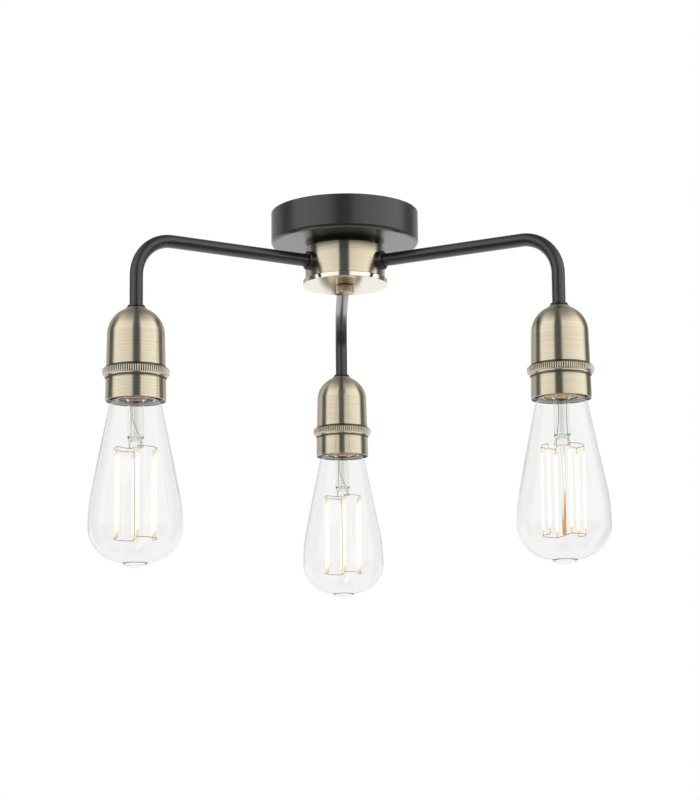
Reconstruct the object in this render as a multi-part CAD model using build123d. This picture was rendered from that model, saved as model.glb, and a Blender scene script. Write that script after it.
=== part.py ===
from build123d import *

import os
from math import acos, asin, atan2, cos, degrees, hypot, pi, radians, sin, sqrt

# Semi-flush ceiling light: a black steel cup against the ceiling, a turned brass hub under it,
# and three bent black arms that each carry a domed brass lampholder and a filament bulb.
# Millimetres. The origin is the middle of the ceiling plane and +Z points up into the ceiling,
# so every level below is negative. The camera side of the light is -Y, and one arm points to +Y.

# Driving dimensions
ARM_REACH = 167.0            # hub axis to lamp axis
ARM_LEVEL = -39.0            # centreline of the level stretch of the arms
ARM_BEND_RADIUS = 27.0       # centreline radius of the quarter bend
ARM_DIAMETER = 9.2
ARM_BORE = 6.2
ARM_END_DIAMETER = 8.0       # turned and threaded ends of the tube
CUP_DIAMETER = 107.0
CUP_HEIGHT = 24.0
CUP_SHEET = 1.2
CUP_EDGE_RADIUS = 2.5
HUB_DIAMETER = 58.0
HUB_HEIGHT = 26.2
HUB_WALL = 3.5
DISC_DIAMETER = 61.4
DISC_THICKNESS = 3.7
FINIAL_DIAMETER = 13.0
FINIAL_HEIGHT = 5.8
ROD_DIAMETER = 10.0
RIM_LEVEL = -153.7           # open lower edge of a lampholder
RIM_DIAMETER = 41.6
DOME_DIAMETER = 40.6         # at the knurled ring
RING_LEVEL = -130.0          # flat top of the knurled ring
RING_DIAMETER = 45.7
RING_HEIGHT = 9.2
KNURL_COUNT = 90
BULB_DIAMETER = 64.0
BULB_BELLY_LEVEL = -239.2    # widest place of the glass
BULB_TIP_LEVEL = -267.4
CAP_DIAMETER = 26.2          # screw cap of the bulb, over its thread
CAP_EDGE_LEVEL = -151.6      # lower edge of the screw cap
CAP_TIP_LEVEL = -125.7       # centre contact of the bulb
LED_RING_RADIUS = 14.6
LED_LENGTH = 58.4
LED_TOP_LEVEL = -187.6
LEAD_DIAMETER = 4.0

# Azimuth of each arm in degrees, counter-clockwise from +X seen from above,
# and how far each bulb happens to be turned in its holder
ARMS = {"left": 210.0, "right": 330.0, "back": 90.0}
BULB_TURNS = {"left": 15.0, "right": -15.0, "back": 5.0}

FIT = 0.05                   # radial play of a screwed or pushed joint inside one body

HUB_TOP = -CUP_HEIGHT
HUB_BOTTOM = HUB_TOP - HUB_HEIGHT
DISC_BOTTOM = HUB_BOTTOM - DISC_THICKNESS
CUP_OPENING_RADIUS = 13.0    # hole in the cup's floor for the rod and the leads
RING_BOTTOM = RING_LEVEL - RING_HEIGHT


def turned(*edges):
    """A solid of revolution about Z from a closed outline drawn as (radius, level)."""
    return revolve(Plane.XZ * make_face(Curve() + list(edges)), Axis.Z)


def turned_outline(*points):
    """The same from straight edges only."""
    return turned(*Polyline(*points, close=True).edges())


def ring(inner_radius, outer_radius, low, high):
    """A plain ring, or a disc where the inner radius is 0."""
    disc = Pos(0, 0, low) * Circle(outer_radius)
    if inner_radius:
        disc -= Pos(0, 0, low) * Circle(inner_radius)
    return extrude(disc, high - low, dir=(0, 0, 1))


def hex_nut(bore_diameter, across_flats, height, low=0.0):
    """A plain hexagon nut with its bore along Z."""
    blank = Pos(0, 0, low) * RegularPolygon(across_flats / 2, 6, major_radius=False)
    blank -= Pos(0, 0, low) * Circle(bore_diameter / 2 + FIT)
    return extrude(blank, height, dir=(0, 0, 1))


# Ceiling bracket: a pressed steel strap whose ends lie flat on the ceiling, with a slot in each,
# and whose middle is set down so that the nut on the rod has room above it.
STRAP_THICKNESS = 1.6
STRAP_WIDTH = 20.0
STRAP_LENGTH = 101.0
STRAP_SET_DOWN = 8.0
SLOT_SPACING = 87.0
SLOT_LENGTH = 10.0
SLOT_WIDTH = 4.5
STRAP_MIDDLE_HALF = 31.0     # half length of the set-down middle
STRAP_FLAT_HALF = 37.5       # where the flat ends begin
STRAP_UNDERSIDE = -STRAP_SET_DOWN - STRAP_THICKNESS
EARTH_HOLE_PLACE = -18.0
EARTH_HOLE_RADIUS = 2.15
BLOCK_FIXING_PLACE = 25.0
BLOCK_FIXING_RADIUS = 1.6


def ceiling_bracket():
    half = STRAP_LENGTH / 2
    upper = FilletPolyline(
        (-half, 0),
        (-STRAP_FLAT_HALF, 0),
        (-STRAP_MIDDLE_HALF, -STRAP_SET_DOWN),
        (STRAP_MIDDLE_HALF, -STRAP_SET_DOWN),
        (STRAP_FLAT_HALF, 0),
        (half, 0),
        radius=2.0,
    )
    lower = offset(upper, STRAP_THICKNESS, side=Side.RIGHT, closed=True)
    profile = make_face(lower.edges())
    strap = extrude(Plane.YZ * profile, STRAP_WIDTH / 2, both=True)
    for end in (-1, 1):
        slot = Pos(0, end * SLOT_SPACING / 2) * Rot(0, 0, 90) * SlotOverall(SLOT_LENGTH, SLOT_WIDTH)
        strap -= extrude(slot, 2 * STRAP_THICKNESS, both=True)
    holes = Circle(ROD_DIAMETER / 2 + 0.1)
    holes += Pos(0, EARTH_HOLE_PLACE) * Circle(EARTH_HOLE_RADIUS)
    holes += Pos(0, BLOCK_FIXING_PLACE) * Circle(BLOCK_FIXING_RADIUS)
    return strap - extrude(Pos(0, 0, -STRAP_SET_DOWN) * holes, 4.0, both=True)


# Hollow threaded rod that hangs from the bracket and carries the whole light, locked by a thin
# hexagon nut on each side of the strap.
ROD_TOP = -3.0
ROD_BORE_RADIUS = 3.5
ROD_END_COVER = 1.4          # thickness of the finial below the rod
NUT_HEIGHT = 3.5
NUT_FLATS = 14.0


def centre_rod():
    low = DISC_BOTTOM - FINIAL_HEIGHT + ROD_END_COVER
    return ring(ROD_BORE_RADIUS, ROD_DIAMETER / 2, low, ROD_TOP)


def rod_nuts():
    upper = hex_nut(ROD_DIAMETER, NUT_FLATS, NUT_HEIGHT, -STRAP_SET_DOWN)
    lower = hex_nut(ROD_DIAMETER, NUT_FLATS, NUT_HEIGHT, STRAP_UNDERSIDE - NUT_HEIGHT)
    return upper + lower


# Terminal block: a three-pole strip of moulded plastic screwed under the strap. Each pole is a
# raised tower with a wire entry on either side and two clamping screws reached from below.
POLE_PITCH = 8.0
POLE_WIDTH = 7.0
BLOCK_NEAR = 17.5            # the side where the leads from the arms enter
BLOCK_DEPTH = 15.0
BLOCK_HEIGHT = 10.6
BLOCK_WEB_HEIGHT = 4.0
ENTRY_LEVEL = -16.6
ENTRY_DEPTH = 4.5
SCREW_WELL_DEPTH = 3.2
SCREW_WELL_RADIUS = 1.9
SCREW_OFFSET = 2.2           # of the two screws of a pole, from its middle
SCREW_RADIUS = 1.7
SCREW_SINK = 0.8


def terminal_block():
    middle = BLOCK_NEAR + BLOCK_DEPTH / 2
    low = STRAP_UNDERSIDE - BLOCK_HEIGHT
    web_middle = STRAP_UNDERSIDE - BLOCK_WEB_HEIGHT / 2
    block = Pos(0, middle, web_middle) * Box(28.0, BLOCK_DEPTH - 3.0, BLOCK_WEB_HEIGHT)
    for pole in (-1, 0, 1):
        place = Pos(pole * POLE_PITCH, middle, STRAP_UNDERSIDE - BLOCK_HEIGHT / 2)
        block += place * Box(POLE_WIDTH, BLOCK_DEPTH, BLOCK_HEIGHT)
    for pole in (-1, 0, 1):
        entry = Plane.XZ * Pos(pole * POLE_PITCH, ENTRY_LEVEL) * Circle(LEAD_DIAMETER / 2 + 0.2)
        block -= Pos(0, BLOCK_NEAR, 0) * extrude(entry, -ENTRY_DEPTH)
        block -= Pos(0, BLOCK_NEAR + BLOCK_DEPTH, 0) * extrude(entry, ENTRY_DEPTH)
        for side in (-1, 1):
            place = Pos(pole * POLE_PITCH, middle + side * SCREW_OFFSET, low)
            well = place * Circle(SCREW_WELL_RADIUS)
            block -= extrude(well, SCREW_WELL_DEPTH, dir=(0, 0, 1))
    return block


def terminal_screws():
    middle = BLOCK_NEAR + BLOCK_DEPTH / 2
    low = STRAP_UNDERSIDE - BLOCK_HEIGHT
    screws = Part()
    for pole in (-1, 0, 1):
        for side in (-1, 1):
            place = Pos(pole * POLE_PITCH, middle + side * SCREW_OFFSET, low + SCREW_SINK)
            screw = extrude(Circle(SCREW_RADIUS), SCREW_WELL_DEPTH - SCREW_SINK)
            screws += place * (screw - extrude(Rectangle(2.2 * SCREW_RADIUS, 0.6), 0.6))
    return screws


# Earth terminal: a cup washer and pan-head screw under the other half of the strap.
def earth_terminal():
    head_top = STRAP_UNDERSIDE - 1.0
    head_low = head_top - 2.4
    washer = ring(2.2, 4.8, head_top, STRAP_UNDERSIDE)
    shank = ring(0, EARTH_HOLE_RADIUS - 0.15, head_top, -STRAP_SET_DOWN + 3.0)
    head = ring(0, 3.8, head_low, head_top)
    head -= Pos(0, 0, head_low) * Box(9.0, 1.0, 2.4)
    return Pos(0, EARTH_HOLE_PLACE, 0) * (washer + (shank + head))


# Ceiling cup: spun steel with a rounded lower edge, open at the top where it meets the ceiling.
def ceiling_cup():
    outer = CUP_DIAMETER / 2
    inner = outer - CUP_SHEET
    floor = -CUP_HEIGHT + CUP_SHEET
    bend = outer - CUP_EDGE_RADIUS
    bend_level = -CUP_HEIGHT + CUP_EDGE_RADIUS
    inner_bend_radius = CUP_EDGE_RADIUS - CUP_SHEET
    return turned(
        Line((outer, 0), (outer, bend_level)),
        CenterArc((bend, bend_level), CUP_EDGE_RADIUS, 0, -90),
        Line((bend, -CUP_HEIGHT), (CUP_OPENING_RADIUS, -CUP_HEIGHT)),
        Line((CUP_OPENING_RADIUS, -CUP_HEIGHT), (CUP_OPENING_RADIUS, floor)),
        Line((CUP_OPENING_RADIUS, floor), (bend, floor)),
        CenterArc((bend, bend_level), inner_bend_radius, -90, 90),
        Line((inner, bend_level), (inner, 0)),
        Line((inner, 0), (outer, 0)),
    )


# Hub: a turned brass drum, open below, whose top collar centres it in the hole of the cup.
# Each arm enters through a hole in a flat seat that is spot-faced into the round wall.
HUB_COLLAR_OUTER = CUP_OPENING_RADIUS - 0.15
HUB_COLLAR_INNER = 11.6
HUB_ROOF = 3.0
SEAT_RADIUS = HUB_DIAMETER / 2 - 0.9
COLLAR_DIAMETER = 13.7


def hub_body():
    outer = HUB_DIAMETER / 2
    inner = outer - HUB_WALL
    edge = 0.4
    hub = turned_outline(
        (HUB_COLLAR_INNER, HUB_TOP + CUP_SHEET + 0.6),
        (HUB_COLLAR_OUTER, HUB_TOP + CUP_SHEET + 0.6),
        (HUB_COLLAR_OUTER, HUB_TOP),
        (outer - edge, HUB_TOP),
        (outer, HUB_TOP - edge),
        (outer, HUB_BOTTOM),
        (inner, HUB_BOTTOM),
        (inner, HUB_TOP - HUB_ROOF),
        (HUB_COLLAR_INNER, HUB_TOP - HUB_ROOF),
    )
    for azimuth in ARMS.values():
        seat = Plane.YZ * Pos(0, ARM_LEVEL) * Circle(COLLAR_DIAMETER / 2 + 0.2)
        bore = Plane.YZ * Pos(0, ARM_LEVEL) * Circle(ARM_END_DIAMETER / 2 + 0.1)
        hub -= Rot(0, 0, azimuth) * Pos(SEAT_RADIUS, 0, 0) * extrude(seat, 5.0)
        hub -= Rot(0, 0, azimuth) * Pos(inner - 2.0, 0, 0) * extrude(bore, 8.0)
    return hub


# Base disc: closes the hub from below and is centred in it by a shallow spigot.
def hub_base_disc():
    outer = DISC_DIAMETER / 2
    spigot = HUB_DIAMETER / 2 - HUB_WALL - 0.1
    bore = ROD_DIAMETER / 2 + 0.15
    edge = 0.35
    return turned_outline(
        (bore, HUB_BOTTOM + 1.5),
        (spigot, HUB_BOTTOM + 1.5),
        (spigot, HUB_BOTTOM),
        (outer - edge, HUB_BOTTOM),
        (outer, HUB_BOTTOM - edge),
        (outer, DISC_BOTTOM + edge),
        (outer - edge, DISC_BOTTOM),
        (bore, DISC_BOTTOM),
    )


# Finial: the round brass nut on the rod's lower end that clamps disc, hub and cup together.
def hub_finial():
    outer = FINIAL_DIAMETER / 2
    bottom = DISC_BOTTOM - FINIAL_HEIGHT
    cover = bottom + ROD_END_COVER - 0.1
    bore = ROD_DIAMETER / 2 + FIT
    edge = 0.8
    return turned_outline(
        (0, cover),
        (bore, cover),
        (bore, DISC_BOTTOM),
        (outer - 0.3, DISC_BOTTOM),
        (outer, DISC_BOTTOM - 0.3),
        (outer, bottom + edge),
        (outer - edge, bottom),
        (0, bottom),
    )


# Arm: a steel tube that runs level out of the hub and turns down in a quarter bend. Both ends
# are turned down and threaded, and the shoulder left behind is what each joint clamps against.
ARM_INNER_END = 19.0         # distance of the tube's inner end from the hub axis
HUB_SHOULDER = 30.7          # distance of the shoulder inside the collar
COLLAR_OUTER_END = 32.3
NECK_TOP = -87.2             # where the tube enters the lampholder
NECK_SHOULDER = -90.0
ARM_LOWER_END = -98.0


def arm_sweep(start, end_level, radius):
    """A round bar along the bent centreline of an arm that points to +X."""
    corner = (ARM_REACH, 0, ARM_LEVEL)
    path = FilletPolyline(
        (start, 0, ARM_LEVEL), corner, (ARM_REACH, 0, end_level), radius=ARM_BEND_RADIUS
    )
    section = Pos(start, 0, ARM_LEVEL) * (Plane.YZ * Circle(radius))
    return sweep(section, path=path)


def arm_tube():
    tube = arm_sweep(HUB_SHOULDER, NECK_SHOULDER, ARM_DIAMETER / 2)
    inner_thread = Plane.YZ * Pos(0, ARM_LEVEL) * Circle(ARM_END_DIAMETER / 2)
    tube += Pos(ARM_INNER_END, 0, 0) * extrude(inner_thread, HUB_SHOULDER - ARM_INNER_END)
    tube += Pos(ARM_REACH, 0, 0) * ring(0, ARM_END_DIAMETER / 2, ARM_LOWER_END, NECK_SHOULDER)
    return tube - arm_sweep(ARM_INNER_END - 1.0, ARM_LOWER_END - 1.0, ARM_BORE / 2)


# Arm collar: the black round nut that the shoulder of the tube pulls against the hub's seat.
def arm_collar():
    outer = COLLAR_DIAMETER / 2
    edge = 0.5
    thread = ARM_END_DIAMETER / 2 + FIT
    sleeve = ARM_DIAMETER / 2 + FIT
    length = COLLAR_OUTER_END - SEAT_RADIUS
    step = HUB_SHOULDER - SEAT_RADIUS
    collar = turned_outline(
        (thread, 0),
        (outer, 0),
        (outer, length - edge),
        (outer - edge, length),
        (sleeve, length),
        (sleeve, step),
        (thread, step),
    )
    return Pos(SEAT_RADIUS, 0, ARM_LEVEL) * Rot(0, 90, 0) * collar


# Lock nuts on the threaded ends: one inside the hub and one inside each dome.
LOCK_NUT_FLATS = 12.0
LOCK_NUT_HEIGHT = 3.0
HUB_NUT_FACE = 24.4          # its corners bear on the round inner wall of the hub


def arm_locknuts():
    nuts = Part()
    for azimuth in ARMS.values():
        nut = hex_nut(ARM_END_DIAMETER, LOCK_NUT_FLATS, LOCK_NUT_HEIGHT)
        in_hub = Pos(HUB_NUT_FACE - LOCK_NUT_HEIGHT, 0, ARM_LEVEL) * Rot(0, 90, 0) * nut
        in_dome = Pos(ARM_REACH, 0, BOSS_BOTTOM - LOCK_NUT_HEIGHT) * nut
        nuts += Rot(0, 0, azimuth) * (in_hub + in_dome)
    return nuts


# Lampholder dome: a spun brass shell with a small collar round the tube and, inside, a thick boss
# for the threaded end. Its lower edge stands on the knurled ring.
DOME_SHEET = 0.9
DOME_RADIUS = 18.85
DOME_CENTRE_LEVEL = -107.75
DOME_SHOULDER = 19.75        # radius where the curve runs into the wall
NECK_RADIUS = 6.0
BOSS_RADIUS = 7.5
BOSS_BOTTOM = -93.5


def dome_level(radius, sphere):
    """Level of the dome's curve at a radius."""
    return DOME_CENTRE_LEVEL + sqrt(sphere**2 - (radius - DOME_SHOULDER + DOME_RADIUS) ** 2)


def holder_dome():
    inner_sphere = DOME_RADIUS - DOME_SHEET
    wall = DOME_DIAMETER / 2
    tube = ARM_DIAMETER / 2 + FIT
    thread = ARM_END_DIAMETER / 2 + FIT
    neck_foot = (NECK_RADIUS, dome_level(NECK_RADIUS, DOME_RADIUS))
    boss_head = (BOSS_RADIUS, dome_level(BOSS_RADIUS, inner_sphere))
    shoulder = (DOME_SHOULDER, DOME_CENTRE_LEVEL)
    inner_shoulder = (DOME_SHOULDER - DOME_SHEET, DOME_CENTRE_LEVEL)
    return turned(
        Line((tube, NECK_TOP), (NECK_RADIUS, NECK_TOP)),
        Line((NECK_RADIUS, NECK_TOP), neck_foot),
        RadiusArc(neck_foot, shoulder, DOME_RADIUS),
        Line(shoulder, (wall, RING_LEVEL)),
        Line((wall, RING_LEVEL), (wall - DOME_SHEET, RING_LEVEL)),
        Line((wall - DOME_SHEET, RING_LEVEL), inner_shoulder),
        RadiusArc(inner_shoulder, boss_head, -inner_sphere),
        Line(boss_head, (BOSS_RADIUS, BOSS_BOTTOM)),
        Line((BOSS_RADIUS, BOSS_BOTTOM), (thread, BOSS_BOTTOM)),
        Line((thread, BOSS_BOTTOM), (thread, NECK_SHOULDER)),
        Line((thread, NECK_SHOULDER), (tube, NECK_SHOULDER)),
        Line((tube, NECK_SHOULDER), (tube, NECK_TOP)),
    )


# Knurled ring: a turned brass ring gripped between dome and skirt. Straight grooves are cut round
# its band and run out on the bevels above and below, which have one small flat under each ridge.
# Under the lower bevel a plain foot tapers in to the skirt.
RING_TOP_BEVEL = 1.6         # height of the bevel above the band
RING_BAND = 3.4              # height of the full-width band
RING_LOW_BEVEL = 1.8
RING_FOOT_RADIUS = 21.3      # where the lower bevel meets the foot
KNURL_DEPTH = 0.75
SLEEVE_RADIUS = 19.2         # thread that joins dome, ring and skirt


def many_sided(radius, level):
    """A polygon at a level, with one side of that inner radius under each ridge."""
    corner_radius = radius / cos(pi / KNURL_COUNT)
    return Pos(0, 0, level) * RegularPolygon(corner_radius, KNURL_COUNT, rotation=180 / KNURL_COUNT)


def holder_ring():
    outer = RING_DIAMETER / 2
    crests = []
    for place in range(2 * KNURL_COUNT):
        radius = outer if place % 2 == 0 else outer - KNURL_DEPTH
        angle = place * pi / KNURL_COUNT
        crests.append((radius * cos(angle), radius * sin(angle)))
    star = Pos(0, 0, RING_BOTTOM) * make_face(Polyline(*crests, close=True).edges())
    band_top = RING_LEVEL - RING_TOP_BEVEL
    band_low = band_top - RING_BAND
    foot_top = band_low - RING_LOW_BEVEL
    top = many_sided(DOME_DIAMETER / 2, RING_LEVEL)
    wide = many_sided(outer, band_top)
    wide_low = many_sided(outer, band_low)
    foot = many_sided(RING_FOOT_RADIUS, foot_top)
    low = many_sided(RIM_DIAMETER / 2 - SKIRT_FLARE, RING_BOTTOM)
    blank = loft([low, foot], ruled=True) + loft([foot, wide_low], ruled=True)
    blank += loft([wide_low, wide], ruled=True) + loft([wide, top], ruled=True)
    blank &= extrude(star, RING_HEIGHT, dir=(0, 0, 1))
    return blank - ring(0, SLEEVE_RADIUS + FIT, RING_BOTTOM - 1.0, RING_LEVEL + 1.0)


# Skirt: a turned brass sleeve that screws up inside the dome through the ring, with a step that
# draws the ring tight and a smooth wall that hides the socket.
SLEEVE_TOP = -125.0
SLEEVE_WALL = 0.9
SKIRT_STEP = 1.4
SKIRT_WALL = 0.8
SKIRT_FLARE = 0.3            # how much wider the skirt is at its rim than under the ring


def holder_skirt():
    rim = RIM_DIAMETER / 2
    top = rim - SKIRT_FLARE
    bore = SLEEVE_RADIUS - SLEEVE_WALL
    return turned_outline(
        (bore, SLEEVE_TOP),
        (SLEEVE_RADIUS, SLEEVE_TOP),
        (SLEEVE_RADIUS, RING_BOTTOM),
        (top, RING_BOTTOM),
        (rim, RIM_LEVEL + 0.25),
        (rim - 0.25, RIM_LEVEL),
        (rim - SKIRT_WALL, RIM_LEVEL),
        (top - SKIRT_WALL, RING_BOTTOM - SKIRT_STEP),
        (bore, RING_BOTTOM - SKIRT_STEP),
    )


# Socket insert: the moulded core that hangs by its flange on the top of the skirt's sleeve. Its
# upper end takes the lead, and its open lower end holds the threaded shell.
SHELL_RADIUS = 13.9          # outside of the threaded shell
SOCKET_FLOOR = -123.5
INSERT_BOTTOM = -148.0
INSERT_TOP = -104.0
FLANGE_HEIGHT = 3.2


def holder_insert():
    body = SLEEVE_RADIUS - SLEEVE_WALL - 0.3
    flange = SLEEVE_RADIUS - 0.25
    socket = SHELL_RADIUS + FIT
    lead_hole = LEAD_DIAMETER / 2 + 0.3
    insert = turned_outline(
        (lead_hole, INSERT_TOP),
        (12.0, INSERT_TOP),
        (15.0, INSERT_TOP - 3.0),
        (15.0, SLEEVE_TOP + FLANGE_HEIGHT),
        (flange, SLEEVE_TOP + FLANGE_HEIGHT),
        (flange, SLEEVE_TOP),
        (body, SLEEVE_TOP),
        (body, INSERT_BOTTOM),
        (socket, INSERT_BOTTOM),
        (socket, SOCKET_FLOOR),
        (0, SOCKET_FLOOR),
        (0, INSERT_TOP - 10.0),
        (lead_hole, INSERT_TOP - 10.0),
    )
    for side in (-1, 1):
        notch = Pos(side * 13.5, 0, INSERT_TOP - 6.0) * Box(5.0, 7.0, 12.0)
        insert -= notch
    return insert


# Threaded shell: thin brass, pressed into the insert. It takes the screw cap of the bulb.
SHELL_SHEET = 0.4
SHELL_TOP = -127.8
SHELL_BOTTOM = -147.6


def thread_shell():
    return ring(SHELL_RADIUS - SHELL_SHEET, SHELL_RADIUS, SHELL_BOTTOM, SHELL_TOP)


# Centre contact: a bronze strip riveted to the socket floor, bent down to meet the bulb.
CONTACT_SHEET = 0.5
CONTACT_WIDTH = 5.0


def centre_contact():
    seat = SOCKET_FLOOR
    low = CAP_TIP_LEVEL + 0.35
    strip = Polyline(
        (9.0, seat),
        (4.0, seat),
        (-1.5, low + CONTACT_SHEET),
        (-4.0, seat - 0.6),
        (-4.0, seat - 0.6 - CONTACT_SHEET),
        (-1.5, low),
        (4.0, seat - CONTACT_SHEET),
        (9.0, seat - CONTACT_SHEET),
        close=True,
    )
    return extrude(Plane.XZ * make_face(strip.edges()), CONTACT_WIDTH / 2, both=True)


# Lead of one lamp: two cores in a sleeve from the socket through the arm and hub to its own pole
# of the terminal block, held in the tube most of the way. Its section is a plain octagon.
LEAD_RISE = 9.2              # distance from the hub axis where the lead goes up
LEAD_HUB_BEND = 7.0
LEAD_CUP_BEND = 5.5
LEAD_ENTRY = 3.3             # how far the lead goes into its pole
LEAD_END_LEVEL = INSERT_TOP - 9.0
POLE_OF_ARM = {"left": -1, "right": 1, "back": 0}


def lamp_lead(name):
    azimuth = radians(ARMS[name])
    out = Vector(cos(azimuth), sin(azimuth), 0)
    lamp = out * ARM_REACH
    rise = out * LEAD_RISE
    block = Vector(POLE_OF_ARM[name] * POLE_PITCH, BLOCK_NEAR + LEAD_ENTRY, ENTRY_LEVEL)
    route = FilletPolyline(
        lamp + Vector(0, 0, LEAD_END_LEVEL),
        lamp + Vector(0, 0, ARM_LEVEL),
        rise + Vector(0, 0, ARM_LEVEL),
        rise + Vector(0, 0, ENTRY_LEVEL),
        block,
        radius=[ARM_BEND_RADIUS, LEAD_HUB_BEND, LEAD_CUP_BEND],
    )
    section = Pos(lamp.X, lamp.Y, LEAD_END_LEVEL) * RegularPolygon(LEAD_DIAMETER / 2, 8)
    return sweep(section, path=route)


# Bulb screw cap: thin brass with a turned-in upper edge, and the solder contact at its tip.
CAP_SHEET = 0.35
CAP_SHOULDER_LEVEL = -131.6
CAP_TOP_LEVEL = -129.6
CAP_TOP_RADIUS = 11.0
BUTTON_RADIUS = 4.8
BUTTON_LEVEL = -127.0


def bulb_cap():
    outer = CAP_DIAMETER / 2
    shell = turned_outline(
        (outer, CAP_EDGE_LEVEL),
        (outer, CAP_SHOULDER_LEVEL),
        (CAP_TOP_RADIUS, CAP_TOP_LEVEL),
        (CAP_TOP_RADIUS - 0.3, CAP_TOP_LEVEL - 0.3),
        (outer - CAP_SHEET, CAP_SHOULDER_LEVEL - 0.2),
        (outer - CAP_SHEET, CAP_EDGE_LEVEL),
    )
    button = turned_outline(
        (0, CAP_TIP_LEVEL),
        (2.6, CAP_TIP_LEVEL),
        (BUTTON_RADIUS, BUTTON_LEVEL + 0.3),
        (BUTTON_RADIUS, BUTTON_LEVEL),
        (0, BUTTON_LEVEL),
    )
    return shell + button


# Bulb insulator: the black glass cone between the shell of the cap and its centre contact.
def bulb_insulator():
    return turned_outline(
        (0, BUTTON_LEVEL),
        (BUTTON_RADIUS + 0.6, BUTTON_LEVEL),
        (CAP_TOP_RADIUS - 0.4, CAP_TOP_LEVEL),
        (CAP_TOP_RADIUS - 0.4, CAP_TOP_LEVEL - 1.0),
        (0, CAP_TOP_LEVEL - 1.0),
    )


# Bulb driver: a small round circuit board with a capacitor and a chip, inside the screw cap.
BOARD_LEVEL = -137.0


def bulb_driver():
    board = ring(0, 11.8, BOARD_LEVEL - 1.2, BOARD_LEVEL)
    capacitor = Pos(4.5, 0, 0) * ring(0, 3.1, BOARD_LEVEL - 9.0, BOARD_LEVEL - 1.2)
    chip = Pos(-5.0, 0, BOARD_LEVEL - 2.0) * Box(5.0, 4.0, 1.6)
    return board + capacitor + chip


# Bulb glass: a blown pear. Above the open neck that sits in the cap it has a round shoulder, then a
# long side that runs straight and then bows out to the belly, and a small pip left at the bottom.
GLASS_WALL = 0.8
GLASS_TOP = -147.0
GLASS_NECK_RADIUS = 12.6
SHOULDER_LEVEL = CAP_EDGE_LEVEL - 0.35
SHOULDER_RADIUS = 3.2
SHOULDER_CENTRE = (14.4, SHOULDER_LEVEL - SHOULDER_RADIUS)
SIDE_RADIUS = 132.0
SIDE_CENTRE = (BULB_DIAMETER / 2 - SIDE_RADIUS, BULB_BELLY_LEVEL)
BELLY_RADIUS = 24.0
BELLY_CENTRE = (BULB_DIAMETER / 2 - BELLY_RADIUS, BULB_BELLY_LEVEL)
CROWN_RADIUS = 47.0
PIP_RADIUS = 8.5             # half width of the pip where it leaves the crown


def polar(centre, radius, angle):
    """A point at an angle in degrees from a centre."""
    return (centre[0] + radius * cos(radians(angle)), centre[1] + radius * sin(radians(angle)))


def bulb_glass():
    # The straight stretch of the side is the common tangent of the shoulder and the side's arc
    across = SHOULDER_CENTRE[0] - SIDE_CENTRE[0]
    up = SHOULDER_CENTRE[1] - SIDE_CENTRE[1]
    lean = degrees(atan2(up, across) - acos((SIDE_RADIUS - SHOULDER_RADIUS) / hypot(across, up)))
    # The crown's arc touches the belly's arc from outside, with its centre on the axis
    crown_rise = sqrt((CROWN_RADIUS - BELLY_RADIUS) ** 2 - BELLY_CENTRE[0] ** 2)
    crown_centre = (0, BULB_BELLY_LEVEL + crown_rise)
    turn = degrees(atan2(crown_rise, BELLY_CENTRE[0]))

    def wall_line(inset, lowest_angle):
        """Outline from the neck to a point of the crown, moved inwards by the inset."""
        neck = GLASS_NECK_RADIUS - inset
        shoulder = SHOULDER_RADIUS - inset
        top_level = SHOULDER_LEVEL - inset
        side = SIDE_RADIUS - inset
        crown = CROWN_RADIUS - inset
        return [
            Line((neck, GLASS_TOP), (neck, top_level)),
            Line((neck, top_level), (SHOULDER_CENTRE[0], top_level)),
            CenterArc(SHOULDER_CENTRE, shoulder, 90, lean - 90),
            Line(polar(SHOULDER_CENTRE, shoulder, lean), polar(SIDE_CENTRE, side, lean)),
            CenterArc(SIDE_CENTRE, side, lean, -lean),
            CenterArc(BELLY_CENTRE, BELLY_RADIUS - inset, 0, -turn),
            CenterArc(crown_centre, crown, -turn, lowest_angle + turn),
        ]

    # The pip is a small round cap that stands out of the crown
    pip_angle = -degrees(acos(PIP_RADIUS / CROWN_RADIUS))
    pip_height = polar(crown_centre, CROWN_RADIUS, pip_angle)[1] - BULB_TIP_LEVEL
    pip_sphere = (PIP_RADIUS**2 + pip_height**2) / (2 * pip_height)
    pip_centre = (0, BULB_TIP_LEVEL + pip_sphere)
    pip_turn = degrees(asin(PIP_RADIUS / pip_sphere))
    inner_bottom = (0, crown_centre[1] - CROWN_RADIUS + GLASS_WALL)
    return turned(
        *wall_line(0, pip_angle),
        CenterArc(pip_centre, pip_sphere, pip_turn - 90, -pip_turn),
        Line((0, BULB_TIP_LEVEL), inner_bottom),
        *wall_line(GLASS_WALL, -90),
        Line((GLASS_NECK_RADIUS - GLASS_WALL, GLASS_TOP), (GLASS_NECK_RADIUS, GLASS_TOP)),
    )


# Bulb stem: a glass tube flared into the neck, inside the cap, and pinched shut at its lower end,
# from which a slim glass rod reaches down to the lower ring of wire.
STEM_RADIUS = 5.75
STEM_WALL = 0.8
STEM_BOTTOM = -184.2
STEM_FLARE_LEVEL = GLASS_TOP - 1.5
STEM_BEND_LEVEL = GLASS_TOP - 3.0
STEM_STRAIGHT_LEVEL = GLASS_TOP - 6.5
STEM_ROD_RADIUS = 1.6
WIRE_DROP = 1.4              # from the arcs of wire to the ends of the filaments
STEM_ROD_BOTTOM = LED_TOP_LEVEL - LED_LENGTH - WIRE_DROP


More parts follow.
